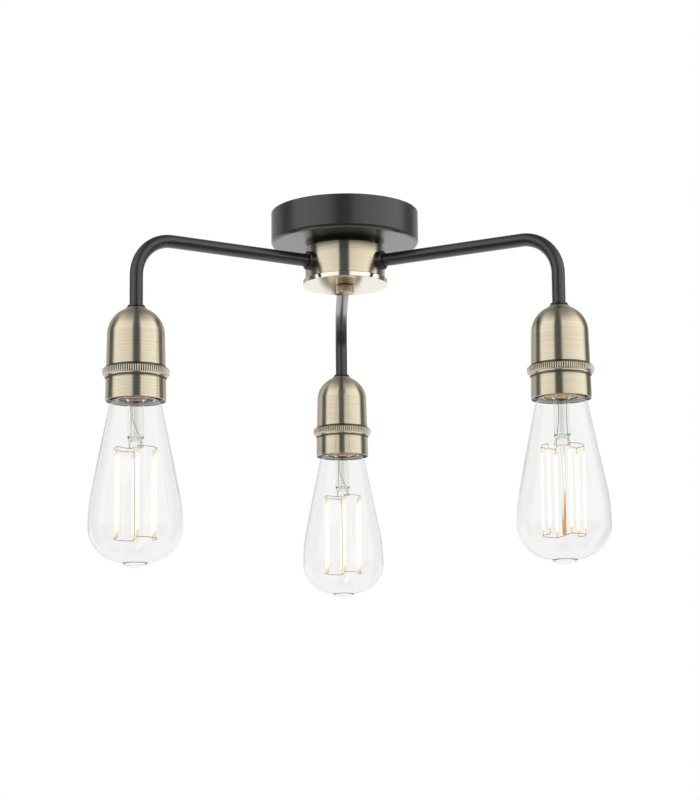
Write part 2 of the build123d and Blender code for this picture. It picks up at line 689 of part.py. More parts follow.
def bulb_stem():
    flare = GLASS_NECK_RADIUS - GLASS_WALL - 0.1
    bend = flare - 3.5
    bore = STEM_RADIUS - STEM_WALL
    return turned_outline(
        (flare, STEM_FLARE_LEVEL),
        (bend, STEM_BEND_LEVEL),
        (STEM_RADIUS, STEM_STRAIGHT_LEVEL),
        (STEM_RADIUS, STEM_BOTTOM + 3.0),
        (STEM_RADIUS - 2.0, STEM_BOTTOM),
        (STEM_ROD_RADIUS, STEM_BOTTOM),
        (STEM_ROD_RADIUS, STEM_ROD_BOTTOM),
        (0, STEM_ROD_BOTTOM),
        (0, STEM_BOTTOM + 8.0),
        (bore, STEM_BOTTOM + 12.0),
        (bore, STEM_STRAIGHT_LEVEL),
        (bend - STEM_WALL, STEM_BEND_LEVEL),
        (flare - 1.2, STEM_FLARE_LEVEL),
    )


# Bulb filaments: six straight LED strips on a circle, upright and evenly spaced.
LED_COUNT = 6
LED_WIDTH = 1.8
LED_THICKNESS = 1.2


def bulb_filaments():
    strip = Pos(LED_RING_RADIUS, 0, LED_TOP_LEVEL - LED_LENGTH / 2)
    strip = strip * Box(LED_THICKNESS, LED_WIDTH, LED_LENGTH)
    filaments = Part()
    for place in range(LED_COUNT):
        filaments += Rot(0, 0, place * 360 / LED_COUNT) * strip
    return filaments


# Bulb wires: two level arcs above and two below, each of which carries three filaments on short
# drops. The upper ones leave the foot of the stem and the lower ones meet under the glass rod.
WIRE = 0.7
ARC_SPAN = 122.0             # degrees covered by each arc
LEAD_FOOT_RADIUS = 2.6


def wire_arc(start, span, low):
    """A bent wire of square section on the filaments' circle."""
    half = WIRE / 2
    outer = Circle(LED_RING_RADIUS + half) - Circle(LED_RING_RADIUS - half)
    reach = 2 * LED_RING_RADIUS
    wedge = Polyline(
        (0, 0),
        (reach * cos(radians(start)), reach * sin(radians(start))),
        (reach * cos(radians(start + span / 2)), reach * sin(radians(start + span / 2))),
        (reach * cos(radians(start + span)), reach * sin(radians(start + span))),
        close=True,
    )
    bent = Pos(0, 0, low) * (outer & make_face(wedge.edges()))
    return extrude(bent, WIRE, dir=(0, 0, 1))


def wire_side(low, drop_low, inner_radius):
    """One arc with a lead in towards the axis and a drop for each of its three filaments."""
    side = wire_arc(-ARC_SPAN / 2, ARC_SPAN, low)
    lead_length = LED_RING_RADIUS - inner_radius
    lead_middle = inner_radius + lead_length / 2
    side += Pos(lead_middle, 0, low + WIRE / 2) * Box(lead_length, WIRE, WIRE)
    drop = Pos(LED_RING_RADIUS, 0, drop_low + WIRE_DROP / 2) * Box(WIRE, WIRE, WIRE_DROP)
    for place in (-1, 0, 1):
        side += Rot(0, 0, place * 360 / LED_COUNT) * drop
    return side


def bulb_wires():
    upper_low = LED_TOP_LEVEL + WIRE_DROP
    foot_height = STEM_BOTTOM - upper_low
    foot = Pos(LEAD_FOOT_RADIUS + WIRE / 2, 0, upper_low + foot_height / 2) * Box(WIRE, WIRE, foot_height)
    upper = wire_side(upper_low, LED_TOP_LEVEL, LEAD_FOOT_RADIUS) + foot
    lower = wire_side(STEM_ROD_BOTTOM - WIRE, STEM_ROD_BOTTOM, 0)
    wires = upper + Rot(0, 0, 180) * upper
    return wires + (lower + Rot(0, 0, 180) * lower)


def place_on_arm(name, piece, turn=0.0):
    """Move a piece that is drawn on the hub axis to the lamp axis of an arm."""
    return Rot(0, 0, ARMS[name]) * Pos(ARM_REACH, 0, 0) * Rot(0, 0, turn) * piece


os.makedirs("parts", exist_ok=True)

nodes = {
    "ceiling_bracket": ceiling_bracket(),
    "centre_rod": centre_rod(),
    "rod_nuts": rod_nuts(),
    "terminal_block": terminal_block(),
    "terminal_screws": terminal_screws(),
    "earth_terminal": earth_terminal(),
    "ceiling_cup": ceiling_cup(),
    "hub_body": hub_body(),
    "hub_base_disc": hub_base_disc(),
    "hub_finial": hub_finial(),
    "arm_locknuts": arm_locknuts(),
}

arm_pieces = {"arm_tube": arm_tube(), "arm_collar": arm_collar()}
holder_pieces = {
    "holder_dome": holder_dome(),
    "holder_ring": holder_ring(),
    "holder_skirt": holder_skirt(),
    "holder_insert": holder_insert(),
    "thread_shell": thread_shell(),
    "centre_contact": centre_contact(),
}
bulb_pieces = {
    "bulb_cap": bulb_cap(),
    "bulb_insulator": bulb_insulator(),
    "bulb_driver": bulb_driver(),
    "bulb_glass": bulb_glass(),
    "bulb_stem": bulb_stem(),
    "bulb_filaments": bulb_filaments(),
    "bulb_wires": bulb_wires(),
}

for arm in ARMS:
    for piece, solid in arm_pieces.items():
        nodes[f"{piece}_{arm}"] = Rot(0, 0, ARMS[arm]) * solid
    for piece, solid in holder_pieces.items():
        nodes[f"{piece}_{arm}"] = place_on_arm(arm, solid)
    for piece, solid in bulb_pieces.items():
        nodes[f"{piece}_{arm}"] = place_on_arm(arm, solid, BULB_TURNS[arm])
    nodes[f"lamp_lead_{arm}"] = lamp_lead(arm)

for node, solid in nodes.items():
    solid.label = node
    export_step(solid, f"parts/{node}.step")
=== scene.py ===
from math import acos, atan2, ceil, cos, degrees, hypot, pi, radians, sin, sqrt, tan

import bpy
from mathutils import Matrix, Vector


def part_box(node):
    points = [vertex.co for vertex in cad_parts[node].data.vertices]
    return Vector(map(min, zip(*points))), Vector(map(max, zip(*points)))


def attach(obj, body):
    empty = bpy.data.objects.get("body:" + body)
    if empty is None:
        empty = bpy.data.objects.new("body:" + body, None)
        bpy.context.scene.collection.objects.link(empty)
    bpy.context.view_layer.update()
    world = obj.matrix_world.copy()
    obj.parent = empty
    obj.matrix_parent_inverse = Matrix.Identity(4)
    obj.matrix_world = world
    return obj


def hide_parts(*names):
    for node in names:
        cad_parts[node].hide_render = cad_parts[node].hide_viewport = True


# A semi-flush ceiling light: a black steel cup under the ceiling, a brass hub, and three bent black
# arms that each end in a domed brass lampholder and a clear filament bulb. Shapes are drawn in
# millimetres, with the ceiling at level 0 and +Z up, and become metres when their mesh is made.
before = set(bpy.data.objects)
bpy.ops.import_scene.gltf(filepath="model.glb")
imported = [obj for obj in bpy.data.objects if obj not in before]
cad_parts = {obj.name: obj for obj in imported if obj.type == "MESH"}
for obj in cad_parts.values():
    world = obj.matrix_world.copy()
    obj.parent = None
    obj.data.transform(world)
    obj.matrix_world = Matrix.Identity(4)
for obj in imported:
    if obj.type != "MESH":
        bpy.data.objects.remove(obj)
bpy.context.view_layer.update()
MM = 0.001
ARMS = {"left": 210.0, "right": 330.0, "back": 90.0}


# Ceiling cup: spun steel, open at the top where it meets the ceiling, with a rounded lower edge.
# Its satin black powder coat shows a fine orange peel.
def size_of(node):
    """Outer radius, lowest level and highest level of an upright CAD node, in millimetres."""
    low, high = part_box(node)
    return round((high.x - low.x) / 2 / MM, 1), round(low.z / MM, 2), round(high.z / MM, 2)


def line(start, end):
    """A straight stretch of an outline, as (point, normal) pairs. The solid lies on its left."""
    run = Vector(end) - Vector(start)
    normal = Vector((run.y, -run.x)).normalized()
    return [(Vector(start), normal), (Vector(end), normal)]


def arc(centre, radius, start, end, step=6.0):
    """A round stretch between two angles in degrees, which bulges outwards where the angle grows."""
    count = max(2, ceil(abs(end - start) / step))
    stretch = []
    for place in range(count + 1):
        angle = radians(start + (end - start) * place / count)
        away = Vector((cos(angle), sin(angle)))
        stretch.append((Vector(centre) + radius * away, away if end > start else -away))
    return stretch


def rounded(*corners):
    """The stretches of a closed outline with straight sides, from (radius, level, rounding) corners."""
    bends = []
    for place, (across, level, rounding) in enumerate(corners):
        here = Vector((across, level))
        arriving = (here - Vector(corners[place - 1][:2])).normalized()
        leaving = (Vector(corners[(place + 1) % len(corners)][:2]) - here).normalized()
        turn = atan2(arriving.cross(leaving), arriving.dot(leaving))
        inward = Vector((-arriving.y, arriving.x)) * (1 if turn > 0 else -1)
        centre = here - arriving * rounding * tan(abs(turn) / 2) + inward * rounding
        start = degrees(atan2(-inward.y, -inward.x))
        bends.append(arc(centre, rounding, start, start + degrees(turn), step=18.0))
    stretches = []
    for place, bend in enumerate(bends):
        stretches.append(bend)
        stretches.append(line(bend[-1][0], bends[(place + 1) % len(bends)][0][0]))
    return stretches


def lathe(name, stretches, around=128, true_normals=True):
    """The mesh of a turned piece about Z. Its UV map's V is the length along the outline, in metres."""
    points, rings, faces, normals, places = [], {}, [], [], []
    length = 0.0

    def ring_at(point):
        key = (round(point.x, 4), round(point.y, 4))
        if key not in rings and point.x < 1e-4:
            rings[key] = [len(points)] * around
            points.append(Vector((0, 0, point.y)) * MM)
        elif key not in rings:
            rings[key] = [len(points) + place for place in range(around)]
            for place in range(around):
                angle = 2 * pi * place / around
                points.append(Vector((point.x * cos(angle), point.x * sin(angle), point.y)) * MM)
        return rings[key]

    for stretch in stretches:
        for (first, first_normal), (second, second_normal) in zip(stretch, stretch[1:]):
            if (second - first).length < 1e-4:
                continue
            start, length = length, length + (second - first).length * MM
            low, high = ring_at(first), ring_at(second)
            for place in range(around):
                beside = (place + 1) % around
                corners = [
                    (low[place], place, first_normal, start),
                    (low[beside], place + 1, first_normal, start),
                    (high[beside], place + 1, second_normal, length),
                    (high[place], place, second_normal, length),
                ]
                if low[place] == low[beside]:
                    corners.pop(1)
                if high[place] == high[beside]:
                    corners.pop(2)
                faces.append([corner[0] for corner in corners])
                for _, turn, normal, along in corners:
                    angle = 2 * pi * turn / around
                    normals.append((normal.x * cos(angle), normal.x * sin(angle), normal.y))
                    places.append((turn / around, along))
    mesh = bpy.data.meshes.new(name)
    mesh.from_pydata(points, [], faces)
    outline = mesh.uv_layers.new(name="outline")
    outline.uv.foreach_set("vector", [number for place in places for number in place])
    mesh.shade_smooth()
    if true_normals:
        mesh.normals_split_custom_set(normals)
    else:
        mesh.set_sharp_from_angle(angle=radians(35))
    return mesh


def in_scene(name, data):
    """A new object in the scene."""
    made = bpy.data.objects.new(name, data)
    bpy.context.scene.collection.objects.link(made)
    return made


def piece(name, mesh, finish, body, slot, *replaced):
    """A finished object of one mesh, which rides on a body and stands for the CAD nodes named."""
    made = in_scene(name, mesh)
    mesh.materials.clear()
    mesh.materials.append(finish)
    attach(made, body)
    if replaced:
        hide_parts(*replaced)


class Value:
    """What a node gives. Sums written with it add Math nodes to its graph."""

    def __init__(self, graph, socket):
        self.graph = graph
        self.socket = socket

    def output(self, name):
        return Value(self.graph, self.socket.node.outputs[name])

    def maths(self, operation, first, second=0.0):
        return self.graph.node("ShaderNodeMath", {"operation": operation}, {0: first, 1: second})

    def __add__(self, other):
        return self.maths("ADD", self, other)

    def __radd__(self, other):
        return self.maths("ADD", other, self)

    def __sub__(self, other):
        return self.maths("SUBTRACT", self, other)

    def __rsub__(self, other):
        return self.maths("SUBTRACT", other, self)

    def __mul__(self, other):
        return self.maths("MULTIPLY", self, other)

    def __rmul__(self, other):
        return self.maths("MULTIPLY", other, self)

    def __truediv__(self, other):
        return self.maths("DIVIDE", self, other)


class Graph:
    """A node tree that is being built."""

    def __init__(self, tree):
        self.tree = tree
        tree.nodes.clear()

    def node(self, kind, settings=None, sockets=None, output=0):
        """Adds a node, its settings first and then its sockets' values or links, and gives an output."""
        made = self.tree.nodes.new(kind)
        for name, setting in (settings or {}).items():
            setattr(made, name, setting)
        for name, value in (sockets or {}).items():
            if isinstance(value, Value):
                self.tree.links.new(value.socket, made.inputs[name])
            else:
                made.inputs[name].default_value = value
        return Value(self, made.outputs[output]) if made.outputs else None

    def where(self, kind="Object"):
        """A texture coordinate."""
        return self.node("ShaderNodeTexCoord", {}, {}, kind)

    def split(self, vector, axis="X"):
        """A vector's share along one axis. The others are further outputs of its node."""
        return self.node("ShaderNodeSeparateXYZ", {}, {0: vector}, axis)

    def bump(self, height, distance, strength=1.0):
        """A relief, by its greatest height in metres."""
        return self.node("ShaderNodeBump", {}, {"Height": height, "Distance": distance, "Strength": strength})


def material(name):
    """A new material and its empty graph."""
    made = bpy.data.materials.new(name)
    made.use_nodes = True
    return made, Graph(made.node_tree)


def surface(graph, sockets):
    """Ends a material in one Principled shader."""
    shader = graph.node("ShaderNodeBsdfPrincipled", {}, sockets)
    graph.node("ShaderNodeOutputMaterial", {}, {"Surface": shader})


def noise(graph, where, scale, detail=2.0):
    return graph.node("ShaderNodeTexNoise", {}, {"Vector": where, "Scale": scale, "Detail": detail})


def between(graph, factor, first, second):
    """A colour between two, by a factor that changes over the surface. The first may itself change."""
    sockets = {0: factor, 6: first if isinstance(first, Value) else (*first, 1.0), 7: (*second, 1.0)}
    return graph.node("ShaderNodeMix", {"data_type": "RGBA"}, sockets, 2)


COAT_ROUGHNESS = 0.26


def plain_finish(name, dark, light, roughness, metallic=0.0, grain=300.0, bump=0.00001, coat=0.0):
    """A finish that varies a little between two colours, with a fine grain in its roughness and relief."""
    made, graph = material(name)
    where = graph.where()
    cloud = noise(graph, where, 60.0, 3.0)
    fine = noise(graph, where, grain, 3.0)
    surface(graph, {
        "Base Color": between(graph, cloud, dark, light),
        "Roughness": roughness + (fine - 0.5) * 0.12,
        "Metallic": metallic,
        "Coat Weight": coat,
        "Coat Roughness": COAT_ROUGHNESS,
        "Normal": graph.bump(fine, bump),
    })
    return made


CUP_SHEET = 1.2
CUP_EDGE = 2.5
CUP_HOLE = 13.0
black_paint = plain_finish(
    "black powder coat", (0.010, 0.010, 0.011), (0.016, 0.016, 0.017), 0.42,
    grain=900.0,
    bump=0.00002,
    coat=1.0,
)

cup_radius, cup_bottom, cup_top = size_of("ceiling_cup")
cup = lathe("ceiling_cup", rounded(
    (cup_radius, cup_bottom, CUP_EDGE),
    (cup_radius, cup_top, 0.5),
    (cup_radius - CUP_SHEET, cup_top, 0.5),
    (cup_radius - CUP_SHEET, cup_bottom + CUP_SHEET, CUP_EDGE - CUP_SHEET),
    (CUP_HOLE, cup_bottom + CUP_SHEET, 0.2),
    (CUP_HOLE, cup_bottom, 0.3),
), around=192)
piece("cup_shell", cup, black_paint, "fitting", "black_paint", "ceiling_cup")


# Ceiling bracket: a pressed and zinc plated steel strap with a slot in each end. Its CAD solid is
# right as it is, and takes the pale mottled look of the plating.
def dress(node, finish):
    """Gives a CAD node that stays in view its finish."""
    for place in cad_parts[node].material_slots:
        place.material = finish


zinc = plain_finish("zinc plate", (0.42, 0.44, 0.46), (0.60, 0.61, 0.60), 0.34, 1.0, grain=500.0)
dress("ceiling_bracket", zinc)


# Centre rod and its nuts: a hollow steel rod with a fine thread that hangs the whole light from the
# bracket, with a thin hexagon nut on each side of the strap.
def grown(name, start, tree, inputs):
    """The plain mesh that a tree of Geometry Nodes makes from a start mesh."""
    holder = in_scene(name, start)
    grow = holder.modifiers.new("grow", "NODES")
    grow.node_group = tree
    for item in tree.interface.items_tree:
        if item.in_out == "INPUT" and item.name in inputs:
            grow[item.identifier] = inputs[item.name]
    depsgraph = bpy.context.evaluated_depsgraph_get()
    mesh = bpy.data.meshes.new_from_object(holder.evaluated_get(depsgraph), depsgraph=depsgraph)
    mesh.name = name
    bpy.data.objects.remove(holder)
    return mesh


def geometry_tree(name, inputs):
    """An empty tree of Geometry Nodes with named inputs, its graph and its group input."""
    tree = bpy.data.node_groups.new(name, "GeometryNodeTree")
    tree.interface.new_socket("Start", in_out="INPUT", socket_type="NodeSocketGeometry")
    for socket, kind in inputs.items():
        tree.interface.new_socket(socket, in_out="INPUT", socket_type=kind)
    tree.interface.new_socket("Result", in_out="OUTPUT", socket_type="NodeSocketGeometry")
    graph = Graph(tree)
    return tree, graph, graph.node("NodeGroupInput")


def end_tree(graph, result, finish):
    """Ends a tree with real geometry in one material."""
    real = graph.node("GeometryNodeRealizeInstances", {}, {"Geometry": result})
    painted = graph.node("GeometryNodeSetMaterial", {}, {"Geometry": real, "Material": finish})
    graph.node("NodeGroupOutput", {}, {"Result": painted})


def eased(value, end):
    """Rises softly from 0 to 1 as a value goes from 0 to an end."""
    sockets = {"Value": value, "From Max": end}
    return value.graph.node("ShaderNodeMapRange", {"interpolation_type": "SMOOTHSTEP"}, sockets)


def thread_cutter():
    """A tree that moves the wall of a turned piece in and out along a right-hand thread."""
    tree, graph, given = geometry_tree("thread", {
        "Pitch": "NodeSocketFloat",
        "Depth": "NodeSocketFloat",
        "Low": "NodeSocketFloat",
        "High": "NodeSocketFloat",
        "Least Radius": "NodeSocketFloat",
        "Finish": "NodeSocketMaterial",
    })
    place = graph.split(graph.node("GeometryNodeInputPosition"))
    level = place.output("Z")
    angle = place.maths("ARCTAN2", place.output("Y"), place)
    radius = place.maths("SQRT", place * place + place.output("Y") * place.output("Y"))
    pitch = given.output("Pitch")
    wave = level.maths("COSINE", level * (2 * pi) / pitch - angle) * 0.5 - 0.5
    ends = eased(level - given.output("Low"), pitch) * eased(given.output("High") - level, pitch)
    wall = radius.maths("GREATER_THAN", radius, given.output("Least Radius"))
    depth = wave * given.output("Depth") * ends * wall
    scale = depth / radius.maths("MAXIMUM", radius, 1e-6)
    move = graph.node("ShaderNodeCombineXYZ", {}, {"X": place * scale, "Y": place.output("Y") * scale})
    cut = graph.node("GeometryNodeSetPosition", {}, {"Geometry": given.output("Start"), "Offset": move})
    end_tree(graph, cut, given.output("Finish"))
    return tree


def threaded(name, outline, finish, pitch, depth, low, high, least_radius, around=96):
    """A turned piece with a thread between two levels, on the walls outside a least radius."""
    rings = []
    for stretch in outline:
        rings.append([stretch[0]])
        for (first, first_normal), (second, second_normal) in zip(stretch, stretch[1:]):
            count = max(1, ceil(abs(second.y - first.y) / pitch * 8))
            for place in range(1, count + 1):
                share = place / count
                rings[-1].append((first.lerp(second, share), second_normal))
    start = lathe(name, rings, around, true_normals=False)
    return grown(name, start, cutter, {
        "Pitch": pitch * MM,
        "Depth": depth * MM,
        "Low": low * MM,
        "High": high * MM,
        "Least Radius": least_radius * MM,
        "Finish": finish,
    })


cutter = thread_cutter()
ROD_BORE = 3.5
rod_radius, rod_bottom, rod_top = size_of("centre_rod")
rod_outline = rounded(
    (rod_radius, rod_bottom, 0.5),
    (rod_radius, rod_top, 0.5),
    (ROD_BORE, rod_top, 0.2),
    (ROD_BORE, rod_bottom, 0.2),
)
ROD_PITCH = 1.0
ROD_THREAD_DEPTH = 0.55
rod = threaded(
    "centre_rod", rod_outline, zinc, ROD_PITCH, ROD_THREAD_DEPTH,
    rod_bottom + 1, rod_top - 0.5, rod_radius - 0.7, 64,
)
piece("threaded_rod", rod, zinc, "fitting", "zinc_steel", "centre_rod")
dress("rod_nuts", zinc)


# Terminal block and its screws: three poles of moulded polyamide under the strap, with plated
# clamping screws reached from below.
polyamide = plain_finish("terminal plastic", (0.62, 0.62, 0.58), (0.70, 0.70, 0.66), 0.45, grain=700.0)
dress("terminal_block", polyamide)
dress("terminal_screws", zinc)


# Earth terminal: a brass screw and cup washer under the other half of the strap. Its CAD solid
# stays, in bare brass.
bare_brass = plain_finish("bare brass", (0.62, 0.44, 0.19), (0.76, 0.56, 0.27), 0.28, 1.0, grain=600.0)
dress("earth_terminal", bare_brass)


# Hub: a turned brass drum with a lacquered, finely brushed face, and a shadow gap turned into its
# upper edge, which painted shade darkens. Its top collar centres it in the cup, and each arm enters
# through its wall.
def fades(value, start, end, first, last):
    """A value between a first and a last one, by where the given value lies in its range."""
    sockets = {"Value": value, "From Min": start, "From Max": end, "To Min": first, "To Max": last}
    return value.graph.node("ShaderNodeMapRange", {}, sockets)


LINE_AROUND = 12.0
LINE_ALONG = 1900.0
# The colour of painted shade, which darkens brass in recesses and hollows where shade falls.
PAINTED_SHADE = (0.10, 0.092, 0.066)


def turned_brass(name, pale, dull, roughness, painted_shade_level=1.0, painted_inside_from=1.0, grain=0.0, glow=(0, 0, 0)):
    """Brass brushed round the lathe's axis, so that it smears reflections up and down. Painted shade
    darkens it above a level and past a length along its outline, where it may also glow with painted
    light as from the filaments."""
    made, graph = material(name)
    where = graph.where()
    place = graph.split(where)
    outline = graph.node("ShaderNodeUVMap", {"uv_map": "outline"})
    along = graph.split(outline, "Y")
    drawn_out = graph.node("ShaderNodeCombineXYZ", {}, {
        "X": place * LINE_AROUND,
        "Y": place.output("Y") * LINE_AROUND,
        "Z": along * LINE_ALONG,
    })
    lines = noise(graph, drawn_out, 1.0, 4.0)
    cloud = noise(graph, where, 90.0, 3.0)
    streaks = fades(noise(graph, drawn_out, 0.24, 1.0), 0.45, 0.60, 0.10, 1.0)
    brushed = between(graph, 0.5 + (cloud - 0.5) * 0.6 + (lines - 0.5) * 1.7, dull, pale)
    # Painted shade above a level, and on the inside past a length along the outline.
    patina = fades(place.output("Z"), painted_shade_level - 0.0004, painted_shade_level + 0.0004, 0.0, 1.0)
    inside = fades(along, painted_inside_from, painted_inside_from + 0.0005, 0.0, 1.0)
    surface(graph, {
        "Base Color": between(graph, patina.maths("MAXIMUM", patina, inside), brushed, PAINTED_SHADE),
        "Metallic": 1.0,
        "Roughness": roughness + (cloud - 0.5) * 0.08,
        "Anisotropic": grain,
        "Anisotropic Rotation": 0.25,
        # Painted light as from the filaments, glowing in streaks on the inside.
        "Emission Color": between(graph, inside * streaks, (0.0, 0.0, 0.0), glow),
        "Emission Strength": 1.0,
        "Normal": graph.bump(lines, 0.00002, 0.6),
    })
    return made


HUB_WALL = 3.5
HUB_ROOF = 3.0
HUB_COLLAR_WALL = 1.25
HUB_COLLAR_PLAY = 0.15
HUB_GAP = 3.0
HUB_GAP_DEPTH = 1.5

hub_radius, hub_bottom, hub_collar_top = size_of("hub_body")
hub_collar = CUP_HOLE - HUB_COLLAR_PLAY
# Painted shade darkens the drum above the level of its shadow gap.
hub_brass = turned_brass(
    "hub brass", (0.81, 0.73, 0.55), (0.64, 0.56, 0.40), 0.20, (cup_bottom - HUB_GAP) * MM, grain=0.9
)
hub = lathe("hub_body", rounded(
    (hub_radius, hub_bottom, 0.15),
    (hub_radius, cup_bottom - HUB_GAP, 0.3),
    (hub_radius - HUB_GAP_DEPTH, cup_bottom - HUB_GAP, 0.1),
    (hub_radius - HUB_GAP_DEPTH, cup_bottom, 0.1),
    (hub_collar, cup_bottom, 0.1),
    (hub_collar, hub_collar_top, 0.3),
    (hub_collar - HUB_COLLAR_WALL, hub_collar_top, 0.3),
    (hub_collar - HUB_COLLAR_WALL, cup_bottom - HUB_ROOF, 0.3),
    (hub_radius - HUB_WALL, cup_bottom - HUB_ROOF, 1.0),
    (hub_radius - HUB_WALL, hub_bottom, 0.3),
), around=256)
piece("hub_drum", hub, hub_brass, "fitting", "satin_brass", "hub_body")


# Base disc and finial: a polished brass disc that closes the hub on a shallow spigot, and the small
# round nut on the end of the rod that clamps them together, redder brass with a polished end.
SPIGOT_PLAY = 0.1
ROD_PLAY = 0.15
FINIAL_RELIEF = 0.6
FINIAL_FLOOR = 1.3
FINIAL_END = 0.4
polished_brass = turned_brass("polished brass", (0.93, 0.91, 0.82), (0.86, 0.82, 0.71), 0.08)

disc_radius, disc_bottom, disc_top = size_of("hub_base_disc")
disc = lathe("hub_base_disc", rounded(
    (disc_radius, disc_bottom, 0.45),
    (disc_radius, hub_bottom, 0.45),
    (hub_radius - HUB_WALL - SPIGOT_PLAY, hub_bottom, 0.05),
    (hub_radius - HUB_WALL - SPIGOT_PLAY, disc_top, 0.3),
    (rod_radius + ROD_PLAY, disc_top, 0.3),
    (rod_radius + ROD_PLAY, disc_bottom, 0.3),
), around=192)
piece("base_disc", disc, polished_brass, "fitting", "satin_brass", "hub_base_disc")

finial_radius, finial_bottom, _ = size_of("hub_finial")
# Painted shade darkens the finial's neck, tucked under the disc.
copper_brass = turned_brass(
    "reddish brass", (0.98, 0.78, 0.50), (0.88, 0.64, 0.38), 0.46, painted_shade_level=(disc_bottom - 0.5) * MM
)
finial = lathe("hub_finial", rounded(
    (0.0, finial_bottom + FINIAL_END, 0.0),
    (finial_radius, finial_bottom + FINIAL_END, 0.2),
    (finial_radius, disc_bottom - FINIAL_RELIEF, 0.2),
    (finial_radius - FINIAL_RELIEF, disc_bottom - FINIAL_RELIEF, 0.1),
    (finial_radius - FINIAL_RELIEF, disc_bottom, 0.1),
    (rod_radius + 0.05, disc_bottom, 0.1),
    (rod_radius + 0.05, finial_bottom + FINIAL_FLOOR, 0.1),
    (0.0, finial_bottom + FINIAL_FLOOR, 0.0),
)[:-1], around=96)
piece("finial", finial, copper_brass, "fitting", "copper_brass", "hub_finial")
finial_end = lathe("finial_end", rounded(
    (0.0, finial_bottom, 0.0),
    (finial_radius - FINIAL_END, finial_bottom, 0.2),
    (finial_radius - FINIAL_END, finial_bottom + 0.6, 0.0),
    (0.0, finial_bottom + 0.6, 0.0),
)[:-1], around=96)
piece("finial_end", finial_end, polished_brass, "fitting", "copper_brass")


# Arms: steel tube in the same black powder coat, level out of the hub and down through a quarter
# bend. The threaded ends take a lock nut inside the hub and inside each dome.
def bent_tube():
    """A tree that turns a line of points, each with its bend, into a round bar with closed ends."""
    tree, graph, given = geometry_tree("bent tube", {
        "Diameter": "NodeSocketFloat",
        "Sides": "NodeSocketInt",
        "Finish": "NodeSocketMaterial",
    })
    route = graph.node("GeometryNodeMeshToCurve", {}, {"Mesh": given.output("Start")})
    bend = graph.node("GeometryNodeInputNamedAttribute", {"data_type": "FLOAT"}, {"Name": "bend"})
    steps = {"Curve": route, "Radius": bend, "Count": 24, "Limit Radius": True}
    smooth = graph.node("GeometryNodeFilletCurve", {"mode": "POLY"}, steps)
    section = graph.node("GeometryNodeCurvePrimitiveCircle", {}, {
        "Resolution": given.output("Sides"),
        "Radius": given.output("Diameter") * 0.5,
    })
    sockets = {"Curve": smooth, "Profile Curve": section, "Fill Caps": True}
    bar = graph.node("GeometryNodeCurveToMesh", {}, sockets)
    end_tree(graph, bar, given.output("Finish"))
    return tree


def swept(name, routes, diameter, sides, finish):
    """A round bar along each route, which is a list of (point, bend radius) in millimetres."""
    line_mesh = bpy.data.meshes.new(name)
    points, edges, bends = [], [], []
    for route in routes:
        for place, (point, bend) in enumerate(route):
            if place:
                edges.append((len(points) - 1, len(points)))
            points.append(Vector(point) * MM)
            bends.append(bend * MM)
    line_mesh.from_pydata(points, edges, [])
    line_mesh.attributes.new("bend", "FLOAT", "POINT").data.foreach_set("value", bends)
    mesh = grown(name, line_mesh, tube_tree, {"Diameter": diameter * MM, "Sides": sides, "Finish": finish})
    mesh.shade_smooth()
    mesh.set_sharp_from_angle(angle=radians(50))
    return mesh


def placed(mesh, azimuth, reach=0.0, turn=0.0):
    """A copy of a mesh moved out from the hub's axis along an arm, and turned with it."""
    copy = mesh.copy()
    move = Matrix.Rotation(radians(azimuth), 4, "Z") @ Matrix.Translation((reach * MM, 0, 0))
    copy.transform(move @ Matrix.Rotation(radians(turn), 4, "Z"))
    return copy


def on_arms(node, ending, mesh, finish, slot, reach=0.0, turns=None, replace=True):
    """A copy of a mesh on every arm, or on every bulb where their turns are given. It stands for that
    arm's CAD node, unless another piece does."""
    for arm, azimuth in ARMS.items():
        name = f"{node}_{arm}"
        turn, body = (turns[arm], f"bulb_{arm}") if turns else (0.0, "fitting")
        replaced = [name] if replace else []
        piece(f"{name}_{ending}", placed(mesh, azimuth, reach, turn), finish, body, slot, *replaced)


tube_tree = bent_tube()
ARM_DIAMETER = 9.2
ARM_END_DIAMETER = 8.0
ARM_BORE_RADIUS = 3.1
ARM_PITCH = 1.0
ARM_THREAD_DEPTH = 0.45
ARM_BEND = 27.0
ARM_INNER_END = 19.0
HUB_SHOULDER = 30.7
NECK_SHOULDER = -90.0
ring_low, ring_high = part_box("holder_ring_back")
arm_reach = round((ring_low.y + ring_high.y) / 2 / MM, 1)
collar_low, collar_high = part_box("arm_collar_back")
arm_level = round((collar_low.z + collar_high.z) / 2 / MM, 1)
arm_lower_end = round(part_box("arm_tube_back")[0].z / MM, 1)

arm_tube = swept("arm_tube", [[
    ((HUB_SHOULDER, 0, arm_level), 0),
    ((arm_reach, 0, arm_level), ARM_BEND),
    ((arm_reach, 0, NECK_SHOULDER), 0),
]], ARM_DIAMETER, 48, black_paint)


def threaded_end(length):
    """The turned-down end of the tube, upright, with its foot at level 0."""
    outline = rounded(
        (ARM_END_DIAMETER / 2, 0.0, 0.3),
        (ARM_END_DIAMETER / 2, length, 0.1),
        (ARM_BORE_RADIUS, length, 0.1),
        (ARM_BORE_RADIUS, 0.0, 0.3),
    )
    return threaded("tube_thread", outline, zinc, ARM_PITCH, ARM_THREAD_DEPTH, 0.3, length, 3.5, 48)


LEVEL_OUT = Matrix.Rotation(pi / 2, 4, "Y")
upper_end = threaded_end(HUB_SHOULDER - ARM_INNER_END)
upper_end.transform(Matrix.Translation((ARM_INNER_END * MM, 0, arm_level * MM)) @ LEVEL_OUT)
lower_end = threaded_end(NECK_SHOULDER - arm_lower_end)
lower_end.transform(Matrix.Translation((arm_reach * MM, 0, arm_lower_end * MM)))
on_arms("arm_tube", "bar", arm_tube, black_paint, "black_paint")
on_arms("arm_tube", "hub_thread", upper_end, zinc, "zinc_steel", replace=False)
on_arms("arm_tube", "dome_thread", lower_end, zinc, "zinc_steel", replace=False)
dress("arm_locknuts", zinc)


